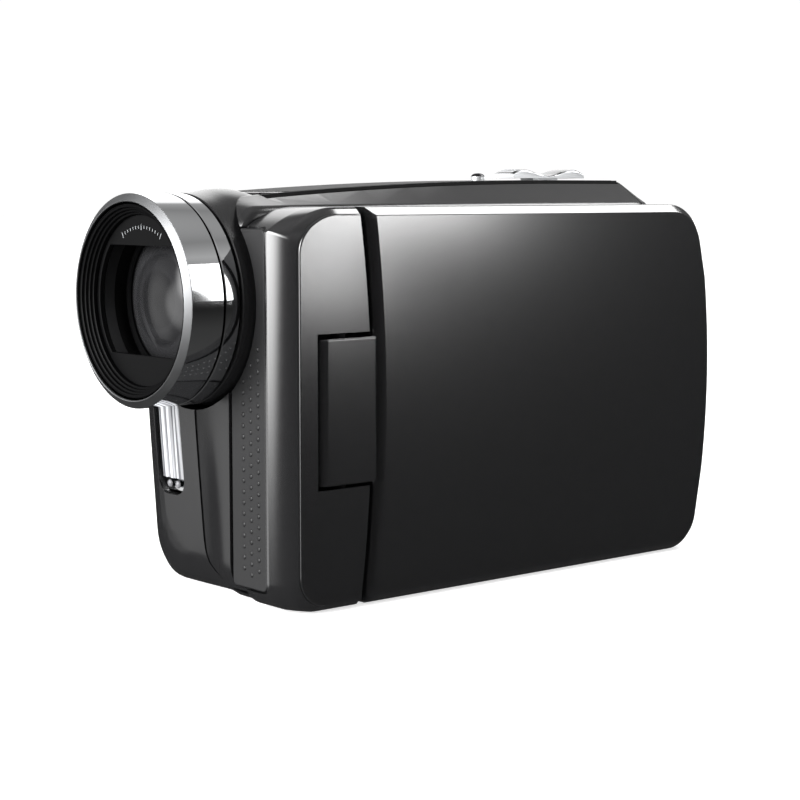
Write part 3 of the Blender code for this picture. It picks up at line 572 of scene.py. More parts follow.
def panel_outline():
    """Outline of the screen panel: curved seam in front, bowed rear edge, rounded corners."""
    def rear(z):
        return PANEL_REAR - PANEL_SAG * ((z - 31.0) / 29.0) ** 2

    bow = [(rear(z), z) for z in [14.0 + 34.0 * step / 12 for step in range(13)]]
    lower = rounded([(0, POD_LOW.z, 0), (rear(2) - 0.5, POD_LOW.z, 6.5), (*bow[0], 0)], 12)[1:-1]
    upper = rounded([(*bow[-1], 0), (rear(58) - 1.2, POD_HIGH.z, 8.0), (0, POD_HIGH.z, 0)], 12)[1:-1]
    return lower + bow + upper + list(reversed(seam_edge(SEAM_WIDTH)))


def panel_solid(name, outline, x_low, edge=0.25):
    """The panel's shell: its outer face has a flat chamfer with a small round on both edges."""
    turn = edge * math.tan(math.pi / 8)
    levels = [(POD_BEVEL + turn, 0.0), (POD_BEVEL + turn * 0.3, turn * 0.12),
              (POD_BEVEL - turn * 0.7, turn * 0.7), (turn * 0.7, POD_BEVEL - turn * 0.7),
              (turn * 0.12, POD_BEVEL + turn * 0.3), (0.0, POD_BEVEL + turn)]
    rings = [[(x_low, u, v) for u, v in outline]]
    rings += [[(POD_FACE - depth, u, v) for u, v in inset(outline, pull)] for depth, pull in levels]
    return loft(name, rings, POD, 60.0)


def make_lcd_panel():
    outline = panel_outline()
    shell = panel_solid("lcd_shell", outline, PANEL_LOW.x)
    combine(shell, prism("lcd_tray", inset(outline, 2.2), "X", 10, POD_FACE - 2.0, POD))
    combine(shell, disc("shaft_hole", SHAFT_BORE, -30, -20, SHAFT_CENTRE, POD, "Y", 32))
    discard(freeze(shell, angle=50.0))
    settle(shell, "lcd_panel", "pod", "lcd_cover")


def frame_ring(x, front_share, side_share, steps=14):
    """Section of the fixed part at one X: share 0 is the body side, 1 the outer face."""
    front = POD_LOW.y + FRAME_SETBACK * front_share
    low, high = POD_LOW.z + POD_BEVEL * side_share, POD_HIGH.z - POD_BEVEL * side_share
    scale = (high - POD_MIDDLE) / POD_HALF
    points = [(y, POD_MIDDLE + (z - POD_MIDDLE) * scale) for y, z in seam_edge(0.0)]
    rise = CROWN_RISE + (FACE_RISE - CROWN_RISE) * front_share
    run = CROWN_RUN + (FACE_RUN - CROWN_RUN) * front_share
    for step in range(steps + 1):
        share = 1 - step / steps
        turn = math.pi / 2 * share
        crisp = (front + run * share, high - rise * (1 - share) ** 2)
        soft = (front + run * (1 - math.cos(turn)), high - rise * (1 - math.sin(turn)))
        points.append(tuple(c + (r - c) * front_share for c, r in zip(crisp, soft)))
    for step in range(steps + 1):
        turn = math.pi / 2 * step / steps
        points.append((front + FRAME_CORNER * (1 - math.cos(turn)),
                       low + FRAME_CORNER * (1 - math.sin(turn))))
    return [(x, y, z) for y, z in points]


def make_pod_frame():
    """The fixed front of the pod: flat face, broad front bevel and hinge pocket."""
    start, line = 19.9, 0.28            # where the bevel begins, and the fine line round the face, a black painted shade line standing in for a groove
    levels = [(POD_LOW.x, 0, 0), (start, 0, 0)]
    for step in range(1, 15):
        x = start + (POD_FACE - line - start) * step / 14
        reach = (x - start) / (POD_FACE - start)
        levels.append((x, reach * (0.52 + 0.45 * reach), max(0.0, 1 - (POD_FACE - x) / POD_BEVEL)))
    for depth, front_share, side_share in ((0.25, 0.93, 0.8), (0.1, 0.94, 0.83), (0.04, 0.955, 0.87),
                                           (0.01, 0.975, 0.92), (0.0, 1.0, 1.0)):
        levels.append((POD_FACE - depth, front_share, side_share))
    pod = loft("pod_frame", [frame_ring(*level) for level in levels], POD, 40.0)
    for low, high in ((POD_LOW.z + 2.4, HINGE_LOW - 7.0), (HINGE_HIGH + 7.0, POD_HIGH.z - 2.6)):
        room = rectangle(POD_LOW.y + 2.2, low, SEAM_END - 2.4, high, 1.5)
        combine(pod, prism("pod_room_%d" % low, room, "X", 10, POD_FACE - 2.2, POD))
    combine(pod, disc("barrel_clear", BARREL_ROOM, -70, -30, LENS_CENTRE, POD))
    bottom, top = HINGE_LOW - 0.5, HINGE_HIGH + 0.8
    combine(pod, disc("pocket", POCKET_RADIUS, bottom, top, HINGE_CENTRE, POD, "Z", 64))
    combine(pod, box("pocket_mouth", (HINGE_X - 0.5, HINGE_Y, bottom), (30, -20, top), POD))
    combine(pod, disc("pin_hole", PIN_BORE, 12, 48, HINGE_CENTRE, POD, "Z", 32))
    combine(pod, room_for("front_grip_strip", "Y", -60, cad("front_grip_strip")[1].y + GAP, POD, 1.2))
    discard(freeze(pod, angle=50.0))
    # Painted shade: a thin black strip round the flat face stands in for the dark shadow of a fine groove
    # that is not cut.
    paint(pod, BLACK, lambda spot, normal: 0.251 < POD_FACE - spot.x < 0.279 and spot.y < -34.0)
    settle(pod, "body", "pod", "side_frame")


def make_hinge_barrel():
    low, high = cad("hinge_block")
    outer, front_round, rear_round = POD_FACE, 1.6, 0.5

    def arc(x, y, radius, start, sweep, steps):
        turns = [math.radians(start + sweep * k / steps) for k in range(steps + 1)]
        return [(x + radius * math.cos(a), y + radius * math.sin(a)) for a in turns]

    outline = arc(outer - rear_round, high.y - rear_round, rear_round, 0, 90, 4) + [(HINGE_X, high.y)]
    outline += arc(HINGE_X, HINGE_Y, BLOCK_RADIUS, 90, 180, 24)[1:-1] + [(HINGE_X + 0.3, low.y)]
    outline += arc(outer - front_round, low.y + front_round, front_round, -90, 90, 8)
    block = prism("hinge_barrel", outline, "Z", low.z, high.z, POD, (0.3, 0.3))
    combine(block, disc("bore", PIN_BORE, 10, 50, HINGE_CENTRE, POD, "Z", 32))
    combine(block, disc("shaft_bore", SHAFT_BORE, -28.4, -20, SHAFT_CENTRE, POD, "Y", 32))
    discard(freeze(block))
    settle(block, "lcd_panel", "pod", "hinge_block")


# --- Front ---------------------------------------------------------------------
def make_grip_strip():
    low, high = cad("front_grip_strip")
    outline = outline_of("front_grip_strip", "Y", 1.0)
    plate = prism("grip_plate", outline, "Y", low.y, high.y, STRIP, (0.3, 0.0))
    combine(plate, disc("barrel_clear", BARREL_ROOM + 0.1, -70, -30, LENS_CENTRE, STRIP))
    discard(freeze(plate))
    settle(plate, "body", "grip_strip", "front_grip_strip")

    work = bmesh.new()
    pitch, spacing = 1.66, 1.87
    for column in (-1, 0, 1):
        for row in range(21):
            x = (low.x + high.x) / 2 + 0.6 + column * spacing
            z = 5.4 + pitch * (row + 0.5 * (column % 2))
            if Vector((x, z - LENS_Z)).length < 18.0:
                continue
            dome(work, Vector((x, low.y + 0.02, z)), 0.42, 0.17)
    settle(from_bmesh("grip_dots", work, STRIP, 60.0), "body", "grip_strip")


def dome(work, centre, radius, height, sides=12):
    """A low closed button of revolution facing -Y."""
    rings = []
    for reach, rise in ((1.0, -0.1), (1.0, 0.0), (0.8, 0.6), (0.45, 0.92), (0.0, 1.0)):
        turns = [2 * math.pi * k / sides for k in range(sides if reach else 1)]
        ring = [work.verts.new((centre + Vector((math.cos(a) * radius * reach, -height * rise,
                                                 math.sin(a) * radius * reach))) * MM) for a in turns]
        rings.append(ring * (sides // len(ring)))
    skin(work, rings)
    work.faces.new(list(reversed(rings[0])))


def lamp_looks():
    """Streaked clear plastic for the ribs, and the darker beads below them."""
    clear = Look("lamp_clear", (0.6, 0.61, 0.63), 0.22, IOR=1.49)
    clear.set("Transmission Weight", 0.15)
    clear.set("Specular IOR Level", 0.6)
    streak = clear.node("Mapping", clear.place, Scale=(1.0, 0.05, 0.02)).outputs["Vector"]
    clear.tint(clear.span(clear.noise(1300.0, 2.0, streak), 0.0, 1.0, 0.4, 0.6), (0.12, 0.12, 0.13))
    clear.bump(clear.noise(2500.0, 1.0), 0.000004, 0.4)
    bead = Look("bead_clear", (0.2, 0.2, 0.21), 0.1)
    bead.tint(bead.span(bead.noise(900.0, 2.0), 0.0, 0.6), (0.1, 0.1, 0.105))
    bead.bump(bead.noise(3000.0, 1.0), 0.000003, 0.3)
    return clear, bead


def make_lamp():
    """Ribbed window in a black rim, with two small beads at its foot."""
    clear, bead = lamp_looks()
    low, high = cad("lamp_window")
    face, bottom, top = low.y + 0.75, low.z + 2.3, high.z - 0.4
    half, middle = (high.x - low.x) / 2 - 0.5, (low.x + high.x) / 2
    outline, left = [(middle - half, face)], middle - half
    for share in (0.10, 0.20, 0.06, 0.30, 0.08, 0.26):
        width = 2 * half * share
        for turn in [math.pi * step / 5 for step in range(1, 6)]:
            outline.append((left + width * (1 - math.cos(turn)) / 2,
                            face - 0.35 * width ** 0.5 * math.sin(turn)))
        left += width
    outline += [(middle + half, high.y), (middle - half, high.y)]
    ribs = prism("lamp_ribs", outline, "Z", bottom, top, clear, angle=40.0)
    shape_front(ribs, 40.0)
    settle(ribs, "body", "lamp_clear")
    rim = prism("lamp_rim", outline_of("lamp_window", "Y", 2.6), "Y", low.y + 0.02, high.y, BLACK)
    room = rectangle(middle - half - 0.02, bottom - 0.02, middle + half + 0.02, top + 0.02, 0.3)
    combine(rim, prism("rim_room", room, "Y", -60, -30, BLACK))
    scoop = rectangle(middle - half, low.z + 0.5, middle + half, bottom - 0.35, 1.0)
    combine(rim, prism("pad_room", scoop, "Y", -60, low.y + 0.7, BLACK))
    discard(freeze(rim, 0.05))
    shape_front(rim)
    settle(rim, "body", "lamp_clear", "lamp_window")
    work = bmesh.new()
    for side in (-1, 1):
        dome(work, Vector((middle + side * 1.1, low.y + 0.66, low.z + 1.3)), 0.62, 0.35, 24)
    beads = from_bmesh("lamp_beads", work, bead, 60.0)
    shape_front(beads, 60.0)
    settle(beads, "body", "lamp_clear")


def make_lamp_inside():
    """The plated bowl and the tube behind the ribbed window, leaning with the front."""
    low, high = cad("lamp_reflector")
    bowl = prism("reflector_bowl", outline_of("lamp_reflector", "Y", 0.8), "Y", low.y, high.y, CHROME)
    room = outline_of("lamp_reflector", "Y", 0.5, -0.6)
    combine(bowl, prism("bowl_room", room, "Y", -60, high.y - 0.8, CHROME))
    discard(freeze(bowl))
    shape_front(bowl)
    settle(bowl, "body", "chrome", "lamp_reflector")
    low, high = cad("lamp_tube")
    tube = disc("flash_tube", (high.x - low.x) / 2, low.z, high.z, centre_of("lamp_tube", "Z"), SILVER, "Z",
                32)
    shape_front(tube, 40.0)
    settle(tube, "body", "silver", "lamp_tube")


def fill_ramp(ramp, stops, blue=1.0):
    """Sets grey levels along a colour ramp."""
    marks = ramp.color_ramp.elements
    while len(marks) < len(stops):
        marks.new(0.5)
    for mark, (reach, level) in zip(marks, stops):
        mark.position = reach
        mark.color = (level, level, level * blue, 1.0)


def coated_glass():
    """Dark coated glass with painted reflections: faint lighter bands in the base colour around the lens
    axis stand in for reflections off the inner lens elements.
    """
    glass = Look("lens_coated", (0.012, 0.012, 0.014), 0.09)
    glass.set("Specular IOR Level", 0.45)
    source = glass.place
    middle, spread = (0, 0, LENS_Z * MM), (95.0, 0, 95.0)
    for kind, amount in (("SUBTRACT", middle), ("MULTIPLY", spread), ("LENGTH", None)):
        step = glass.node("VectorMath", source, kind)
        if amount:
            step.inputs[1].default_value = amount
        source = step.outputs["Value" if kind == "LENGTH" else "Vector"]
    # Painted reflection: rings of lighter base colour by distance from the lens axis.
    painted_reflection_bands = glass.node("ValToRGB", source)
    fill_ramp(painted_reflection_bands, ((0.0, 0.008), (0.4, 0.012), (0.46, 0.018), (0.64, 0.014), (0.7, 0.024), (0.88, 0.02),
                      (0.95, 0.008)), 1.06)
    glass.links.new(painted_reflection_bands.outputs["Color"], glass.shader.inputs["Base Color"])
    return glass.rough(glass.span(glass.noise(60.0, 1.0), 0.08, 0.1))


def lens_ring(name, profile, look, slot, *nodes, steps=128, angle=25.0):
    """A piece turned about the lens axis, given as (radius, distance) points."""
    return settle(turned(name, profile, LENS_CENTRE, look, steps=steps, angle=angle), "body", slot, *nodes)


def make_lens():
    r, front = RING_RADIUS, LENS_FRONT
    low, high = cad("lens_barrel_housing")
    collar = [(14.6, low.y), (r - 0.15, low.y), (r, low.y + 0.15), (16.25, -42.4), (16.4, -41.0),
              (16.62, -39.8), (16.8, -38.6), (16.84, -37.4), (16.84, -36.4), (16.74, -35.4), (16.5, -34.3),
              (16.2, high.y), (14.6, high.y)]
    lens_ring("barrel_collar", collar, CASING, "casing", "lens_barrel_housing", angle=40.0)
    profile = [(14.9, front + 0.35), (14.92, front + 0.1), (r - 1.2, front + 0.02), (r - 1.12, front),
               (r - 1.04, front + 0.03), (r - 0.08, front + 0.66), (r - 0.02, front + 0.72),
               (r, front + 0.8), (r, RING_SPLIT - 0.12), (r - 0.12, RING_SPLIT), (14.9, RING_SPLIT)]
    ring = lens_ring("ring_front", profile, CHROME, "chrome", "lens_front_ring", steps=192)
    paint(ring, CHAMFER, lambda spot, normal: spot.y < front + 0.7)
    low, high = cad("lens_rear_ring")
    profile = [(14.9, low.y), (r - 0.12, low.y), (r, low.y + 0.12), (r, high.y - 0.3),
               (r - 0.12, high.y - 0.12), (r - 0.3, high.y), (14.9, high.y)]
    lens_ring("ring_rear", profile, CHROME, "chrome", "lens_rear_ring", steps=160)
    make_hood()
    make_index_ticks()

    glass = coated_glass()
    low, high = cad("front_lens")
    edge, sag = 10.4, 2.5
    profile = [(edge * k / 16, low.y + sag * (k / 16) ** 2) for k in range(17)]
    profile += [(edge, high.y), (0, high.y)]
    lens_ring("front_element", profile, glass, "lens_glass", "front_lens", angle=35.0)
    for node in ("rear_lens", "zoom_lens"):
        carry(node, glass)


def window_outline():
    """The round picture window with its top and bottom cut straight."""
    reach = math.asin(WINDOW_HALF / WINDOW_RADIUS)
    turns = [middle - reach + 2 * reach * step / 24 for middle in (0.0, math.pi) for step in range(25)]
    return [(WINDOW_RADIUS * math.cos(a), LENS_Z + WINDOW_RADIUS * math.sin(a)) for a in turns]


def make_hood():
    """Black face with the picture window, stepped threads in front and a lined bore behind."""
    low, high = cad("lens_hood_mask")
    black = moulded("hood_black", (0.002, 0.002, 0.0022), 0.42, grain=0.000006, level=0.08)
    thread = moulded("thread_black", (0.002, 0.002, 0.0022), 0.42, level=0.06)
    lining = metal("bore_lining", (0.06, 0.06, 0.062), 0.4)
    face = MASK_FACE
    plate = [(0, face), (12.98, face), (12.98, high.y), (11.9, high.y), (12.35, face + 0.8),
             (0, face + 0.8)]
    mask = turned("hood_mask", plate, LENS_CENTRE, black, steps=128, angle=25.0)
    combine(mask, prism("picture_window", window_outline(), "Y", -60, -40, black))
    discard(freeze(mask, 0.08))
    settle(mask, "body", "black", "lens_hood_mask")
    rim = [(13.0, face + 0.3), (13.0, face - 0.3)]
    for step in range(4):
        y, radius = face - 0.3 - 0.5 * step, 13.0 + 0.36 * step
        rim += [(radius + 0.02, y - 0.3), (radius + 0.12, y - 0.36), (radius + 0.28, y - 0.38),
                (radius + 0.34, y - 0.46)]
    rim += [(14.5, low.y), (14.6, low.y + 0.1), (14.6, face + 0.3)]
    lens_ring("hood_threads", rim, thread, "black", steps=160)
    sleeve = [(12.12, face + 0.85), (12.2, face + 0.85), (12.1, face + 2.3), (11.6, face + 2.3),
              (11.6, face + 2.15)]
    lens_ring("bore_sleeve", sleeve, lining, "black")
    bezel = [(10.7, -46.6), (10.9, -46.9), (11.55, -46.9), (11.7, -46.7), (11.7, -44.7), (10.7, -44.7)]
    lens_ring("glass_bezel", bezel, black, "black")


def make_index_ticks():
    """Plain index marks around the top of the lens face."""
    white = Look("tick_white", (0.34, 0.35, 0.36), 0.5)
    white.bump(white.noise(3000.0, 1.0), 0.000003, 0.3)
    white.tint(white.span(white.noise(700.0, 1.0), 0.0, 0.5), (0.24, 0.25, 0.26))
    work = bmesh.new()
    for i in range(15):
        turn = math.radians(62 + 4 * i)
        length, width = 0.9 if i % 7 == 0 else 0.45, 0.11
        along = Vector((math.cos(turn), 0, math.sin(turn)))
        across = Vector((-math.sin(turn), 0, math.cos(turn)))
        rings = []
        for y in (MASK_FACE - 0.01, MASK_FACE - 0.05):
            middle = Vector((0, y, LENS_Z)) + along * 11.1
            rings.append([work.verts.new((middle + along * (length * a) + across * (width * b)) * MM)
                          for a, b in ((-0.5, -0.5), (0.5, -0.5), (0.5, 0.5), (-0.5, 0.5))])
        skin(work, rings)
        cap_ends(work, rings)
    settle(from_bmesh("index_ticks", work, white), "body", "silver")


def carry(node, look):
    """Gives a carried-over CAD node its finished material."""
    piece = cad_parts[node]
    piece.data.materials.clear()
    piece.data.materials.append(look.material)
    for polygon in piece.data.polygons:
        polygon.material_index = 0
    piece.data.shade_smooth()
    piece.data.set_sharp_from_angle(angle=math.radians(32))


# --- Controls ------------------------------------------------------------------
def rocker_top(along):
    """Height of the zoom control's top at a share of its half length."""
    hump = 65.35 + 1.15 * math.sin(min(1.0, along / HUMP_AT) * math.pi / 2) ** 2
    drop = 0.8 * max(0.0, (along - HUMP_AT) / (1 - HUMP_AT)) ** 1.5
    return min(hump - drop, cad("zoom_rocker")[1].z)


def make_rocker():
    """Two-humped zoom control with its dark top, ribbed ends, stem and pin bore."""
    low, high = cad("zoom_rocker")
    middle, half = (low.y + high.y) / 2, (high.y - low.y) / 2
    width, base = (high.x - low.x) / 2, ROCKER_BASE
    shares = [1.0 - step / 24 for step in range(49)]
    top = [(middle + share * half, rocker_top(abs(share))) for share in shares]
    crowns = ((0.0, 1.0), (0.6, 0.995), (0.88, 0.94), (0.95, 0.82), (0.985, 0.62), (1.0, 0.3))
    rings = []
    for reach, crown in [(-r, c) for r, c in reversed(crowns[1:])] + list(crowns):
        x = reach * width
        ring = [(x, middle - half, base), (x, middle + half, base)]
        rings.append(ring + [(x, y, base + (z - base) * crown) for y, z in top])
    rocker = loft("rocker_cap", rings, PEARL, 40.0)
    stem = box("rocker_stem", (-1.6, middle - 3.0, low.z), (1.6, middle + 3.0, base + 0.3), SILVER)
    combine(rocker, stem, "UNION")
    combine(rocker, disc("rocker_bore", 1.05, -8, 8, (0, middle, ROCKER_PIVOT_Z), SILVER, "X", 24))
    discard(freeze(rocker))
    paint(rocker, SMOKED, lambda spot, normal: normal.z > 0.62 and spot.z > base + 0.25)
    settle(rocker, "zoom_rocker", "silver", "zoom_rocker")
    lines = []
    for side in (-1, 1):
        for row in range(3):
            reach = half - 0.75 - 0.6 * row
            y, z = middle + side * reach, rocker_top(reach / half) - 0.09
            lines.append(((-1.9, y, z), (1.9, y, z)))
    ribs("rocker_ribs", lines, 0.17, (0, 0, 1), 0.14, PEARL, "zoom_rocker", "silver")


def rib(work, start, end, half, up, rise):
    """A closed rounded bar between two points, for grips and ridges."""
    along = (end - start).normalized()
    across = along.cross(up).normalized()
    profile = [(-half, -rise), (half, -rise), (half, 0.0), (half * 0.6, rise * 0.75), (0.0, rise),
               (-half * 0.6, rise * 0.75), (-half, 0.0)]
    ends = []
    for point, pull in ((start, 0.55), (start + along * half, 1.0), (end - along * half, 1.0), (end, 0.55)):
        ends.append([work.verts.new((point + (across * u + up * v) * pull) * MM) for u, v in profile])
    skin(work, ends)
    cap_ends(work, ends)


def ribs(name, lines, half, up, rise, look, body, slot):
    """One piece of raised bars along a list of start and end points."""
    work = bmesh.new()
    for start, end in lines:
        rib(work, Vector(start), Vector(end), half, Vector(up), rise)
    settle(from_bmesh(name, work, look, 50.0), body, slot)


def make_buttons():
    """Photo button on top, three dished buttons in the screen bay, record button behind."""
    low, high = cad("photo_button")
    radius, dome_height = (high.x - low.x) / 2, 0.75
    profile = [(0, low.z), (radius, low.z), (radius, high.z - dome_height)]
    profile += [(radius * math.cos(a) ** 0.8, high.z - dome_height * (1 - math.sin(a)))
                for a in [math.pi / 2 * k / 8 for k in range(1, 8)]]
    profile += [(0, high.z)]
    cap = turned("photo_cap", profile, centre_of("photo_button", "Z"), PEARL, "Z", 64, 40.0)
    paint(cap, SMOKED, lambda spot, normal: normal.z > 0.35)
    settle(cap, "photo_button", "silver", "photo_button")

    for node in BAY_BUTTONS:
        low, high = cad(node)
        radius = (high.y - low.y) / 2
        profile = [(0, low.x), (radius, low.x), (radius, high.x - 0.45), (radius - 0.1, high.x - 0.15),
                   (radius - 0.4, high.x), (radius * 0.6, high.x - 0.12), (0, high.x - 0.22)]
        look = SILVER if node == "power_button" else BLACK
        cap = turned(node + "_cap", profile, centre_of(node, "X"), look, "X", 64, 40.0)
        settle(cap, node, "black", node)

    low, high = cad("record_button")
    centre, radius = centre_of("record_button", "Y"), (high.x - low.x) / 2
    profile = [(0, low.y), (radius, low.y), (radius, high.y - 0.7), (radius - 0.12, high.y - 0.3),
               (radius - 0.45, high.y - 0.06), (radius - 0.8, high.y), (radius - 1.1, high.y - 0.12),
               (radius - 1.3, high.y - 0.4), (2.2, high.y - 0.62), (2.1, high.y - 0.9), (0, high.y - 0.9)]
    cap = turned("record_cap", profile, centre, SILVER, steps=96, angle=40.0)
    settle(cap, "record_button", "silver", "record_button")
    red = moulded("record_red", (0.42, 0.012, 0.012), 0.28)
    profile = [(0, high.y - 0.85), (1.9, high.y - 0.85), (1.9, high.y - 0.5), (1.7, high.y - 0.34),
               (1.2, high.y - 0.26), (0, high.y - 0.22)]
    settle(turned("record_dot", profile, centre, red, steps=64, angle=50.0), "record_button", "silver")


def make_rear_parts():
    """Ribbed mode switch, soft port cover with a nail scoop, and the red status lamp."""
    low, high = cad("mode_switch")
    face = high.y - 0.25
    knob = prism("switch_knob", outline_of("mode_switch", "Y", 0.8), "Y", low.y, face, RUBBER, (0.0, 0.35))
    settle(knob, "mode_switch", "rubber", "mode_switch")
    levels = [(low.z + high.z) / 2 + row * 1.05 for row in (-2, -1, 0, 1, 2)]
    lines = [((low.x + 0.5, face, z), (high.x - 0.5, face, z)) for z in levels]
    ribs("switch_ribs", lines, 0.25, (0, 1, 0), 0.25, RUBBER, "mode_switch", "rubber")

    low, high = cad("port_cover")
    face, outline = high.y - 0.12, outline_of("port_cover", "Y", 1.1)
    cover = prism("port_flap", outline, "Y", low.y, face, RUBBER, (0.0, 0.3))
    spot = centre_of("port_cover", "Y") - Vector((3.4, 0, 0))
    combine(cover, disc("port_scoop", 3.0, high.y - 0.3, high.y + 3.0, spot, RUBBER, steps=48))
    discard(freeze(cover, 0.12, 60.0))
    settle(cover, "port_cover", "rubber", "port_cover")
    left = inset(outline, 1.3)[0][0] + 0.6
    levels = [z + 0.9 * row for z in (low.z + 3.4, high.z - 3.4) for row in (-1, 0, 1)]
    lines = [((left, face, z), (high.x - 1.9, face, z)) for z in levels]
    ribs("port_ribs", lines, 0.2, (0, 1, 0), 0.12, RUBBER, "port_cover", "rubber")

    low, high = cad("status_lamp")
    lamp = moulded("status_red", (0.35, 0.02, 0.015), 0.15)
    profile = [(0, low.y), (1.2, low.y), (1.2, high.y - 0.3), (0.95, high.y - 0.1), (0.5, high.y - 0.02),
               (0, high.y)]
    lens = turned("status_lens", profile, centre_of("status_lamp", "Y"), lamp, steps=48, angle=50.0)
    settle(lens, "body", "lamp_clear", "status_lamp")


def make_screws():
    """Domed screw heads with a cross recess, two in the base and two behind."""
    for node in ("base_screw_front", "base_screw_rear", "rear_screw_upper", "rear_screw_lower"):
        low, high = cad(node)
        if node.startswith("base"):
            axis, face, back, inward = "Z", low.z, high.z, 1
        else:
            axis, face, back, inward = "Y", high.y, low.y, -1
        centre = centre_of(node, axis)
        u, v = centre.x, centre.y if axis == "Z" else centre.z
        profile = [(0, back), (1.55, back), (1.55, face + 0.3 * inward), (1.45, face + 0.1 * inward),
                   (1.2, face + 0.02 * inward), (0, face)]
        head = turned(node + "_head", profile, centre, STEEL, axis, 48, 40.0)
        ends = sorted((face - inward, face + 0.38 * inward))
        for turn, (wide, tall) in enumerate(((0.16, 0.95), (0.95, 0.16))):
            slot = rectangle(u - wide, v - tall, u + wide, v + tall)
            combine(head, prism("%s_drive_%d" % (node, turn), slot, axis, *ends, STEEL))
        discard(freeze(head))
        settle(head, "body", "steel", node)


def make_base_parts():
    """Battery door with its catch and grip ribs, and the threaded tripod bush."""
    low, high = cad("battery_door")
    outline = outline_of("battery_door", "Z", 0.9)
    leaf = prism("door_leaf", outline, "Z", low.z, high.z, CASING, (0.25, 0.0))
    middle = (low.x + high.x) / 2
    catch = rectangle(middle - 2.6, high.y - 4.2, middle + 2.6, high.y - 2.2, 0.9)
    combine(leaf, prism("door_catch", catch, "Z", -1, low.z + 0.6, CASING))
    discard(freeze(leaf, 0.1, 60.0))
    settle(leaf, "battery_door", "casing", "battery_door")
    z, stations = low.z + 0.02, [high.y - 6.2 - 1.1 * row for row in range(6)]
    lines = [((low.x + 3.0, y, z), (high.x - 3.0, y, z)) for y in stations]
    ribs("door_ribs", lines, 0.28, (0, 0, -1), 0.09, CASING, "battery_door", "casing")

    low, high = cad("tripod_bush")
    profile = [(3.55, low.z), (4.9, low.z), (5.0, low.z + 0.1), (5.0, high.z), (3.2, high.z)]
    pitch, z = 1.27, high.z
    while z > low.z + 1.3:
        profile += [(3.2, z - 0.35), (3.5, z - 0.65), (3.2, z - 0.95)]
        z -= pitch
    bush = turned("bush_threaded", profile, centre_of("tripod_bush", "Z"), STEEL, "Z", 64, 20.0)
    settle(bush, "body", "steel", "tripod_bush")


# --- Hand strap ----------------------------------------------------------------
STRAP_FRONT_Y, STRAP_REAR_Y = -27.0, 39.0
STRAP_BAR_X, STRAP_BULGE, STRAP_THICK = -22.9, 25.0, 1.2
STRAP_LOW, STRAP_HIGH = cad("hand_strap")
PAD_LOW, PAD_HIGH = cad("strap_pad")
STRAP_Z = (STRAP_LOW.z + STRAP_HIGH.z) / 2
STRAP_HALF = (STRAP_HIGH.z - STRAP_LOW.z) / 2
PAD_THICK = 3.6
PAD_FIRST, PAD_LAST = [(y - STRAP_FRONT_Y) / (STRAP_REAR_Y - STRAP_FRONT_Y) for y in (-13.0, 25.0)]


def strap_curve(s):
    """Middle line of the strap, s from 0 at the front bar to 1 at the rear one."""
    y = STRAP_FRONT_Y + (STRAP_REAR_Y - STRAP_FRONT_Y) * s
    return Vector((STRAP_BAR_X + 0.4 - STRAP_BULGE * (1 - abs(2 * s - 1) ** 2.4), y))


def strap_offset(s, distance):
    along = (strap_curve(s + 0.01) - strap_curve(s - 0.01)).normalized()
    return strap_curve(s) + Vector((along.y, -along.x)) * distance


def mirrored(point):
    """The matching point on the other half of the strap."""
    return Vector((point.x, STRAP_FRONT_Y + STRAP_REAR_Y - point.y))


def strap_path():
    """Fold at the front bar, the long bow over the hand, fold at the rear bar."""
    fold = [strap_offset(s / 100, -STRAP_THICK - 0.55) for s in (21, 19, 17, 15, 13)]
    for step in range(19):
        turn = math.radians(175 - 245 * step / 18)
        fold.append(Vector((STRAP_BAR_X + 2.1 * math.cos(turn), STRAP_FRONT_Y - 2.1 * math.sin(turn))))
    front = fold + [strap_curve(s / 100) for s in range(8, 51, 2)]
    return front + [mirrored(point) for point in reversed(front[:-1])]


def webbing_look():
    look = Look("webbing_weave", (0.012, 0.012, 0.0125), 0.75)
    uv = look.node("TexCoord").outputs["UV"]

    def wave(direction, scale):
        made = look.node("TexWave", uv, Scale=scale, Distortion=0.6, Detail=1.0)
        made.bands_direction = direction
        return made.outputs["Fac"]

    raised = look.node("Math", wave("X", 0.36), "ADD")
    raised.inputs[1].default_value = 0.25
    woven = look.node("Math", raised.outputs[0], "MULTIPLY")
    look.links.new(wave("Y", 0.24), woven.inputs[1])
    weave = woven.outputs[0]
    look.bump(weave, 0.00025, 0.9)
    look.bump(look.noise(3500.0, 2.0), 0.00003, 0.4)
    look.tint(look.span(weave, 0.0, 0.75, 0.1, 1.0), (0.035, 0.035, 0.037))
    look.set("Sheen Weight", 0.25)
    look.set("Sheen Roughness", 0.5)
    return look


def padding_look():
    look = Look("pad_cloth", (0.010, 0.010, 0.0105), 0.85)
    cells = look.node("TexVoronoi", look.place, Scale=1500.0).outputs["Distance"]
    look.bump(look.noise(260.0, 2.0), 0.0001, 0.25)
    look.bump(cells, 0.00012, 0.6)
    look.tint(look.span(cells, 0.0, 0.8, 0.0, 0.8), (0.032, 0.032, 0.034))
    look.set("Sheen Weight", 0.35)
    look.set("Sheen Roughness", 0.45)
    return look


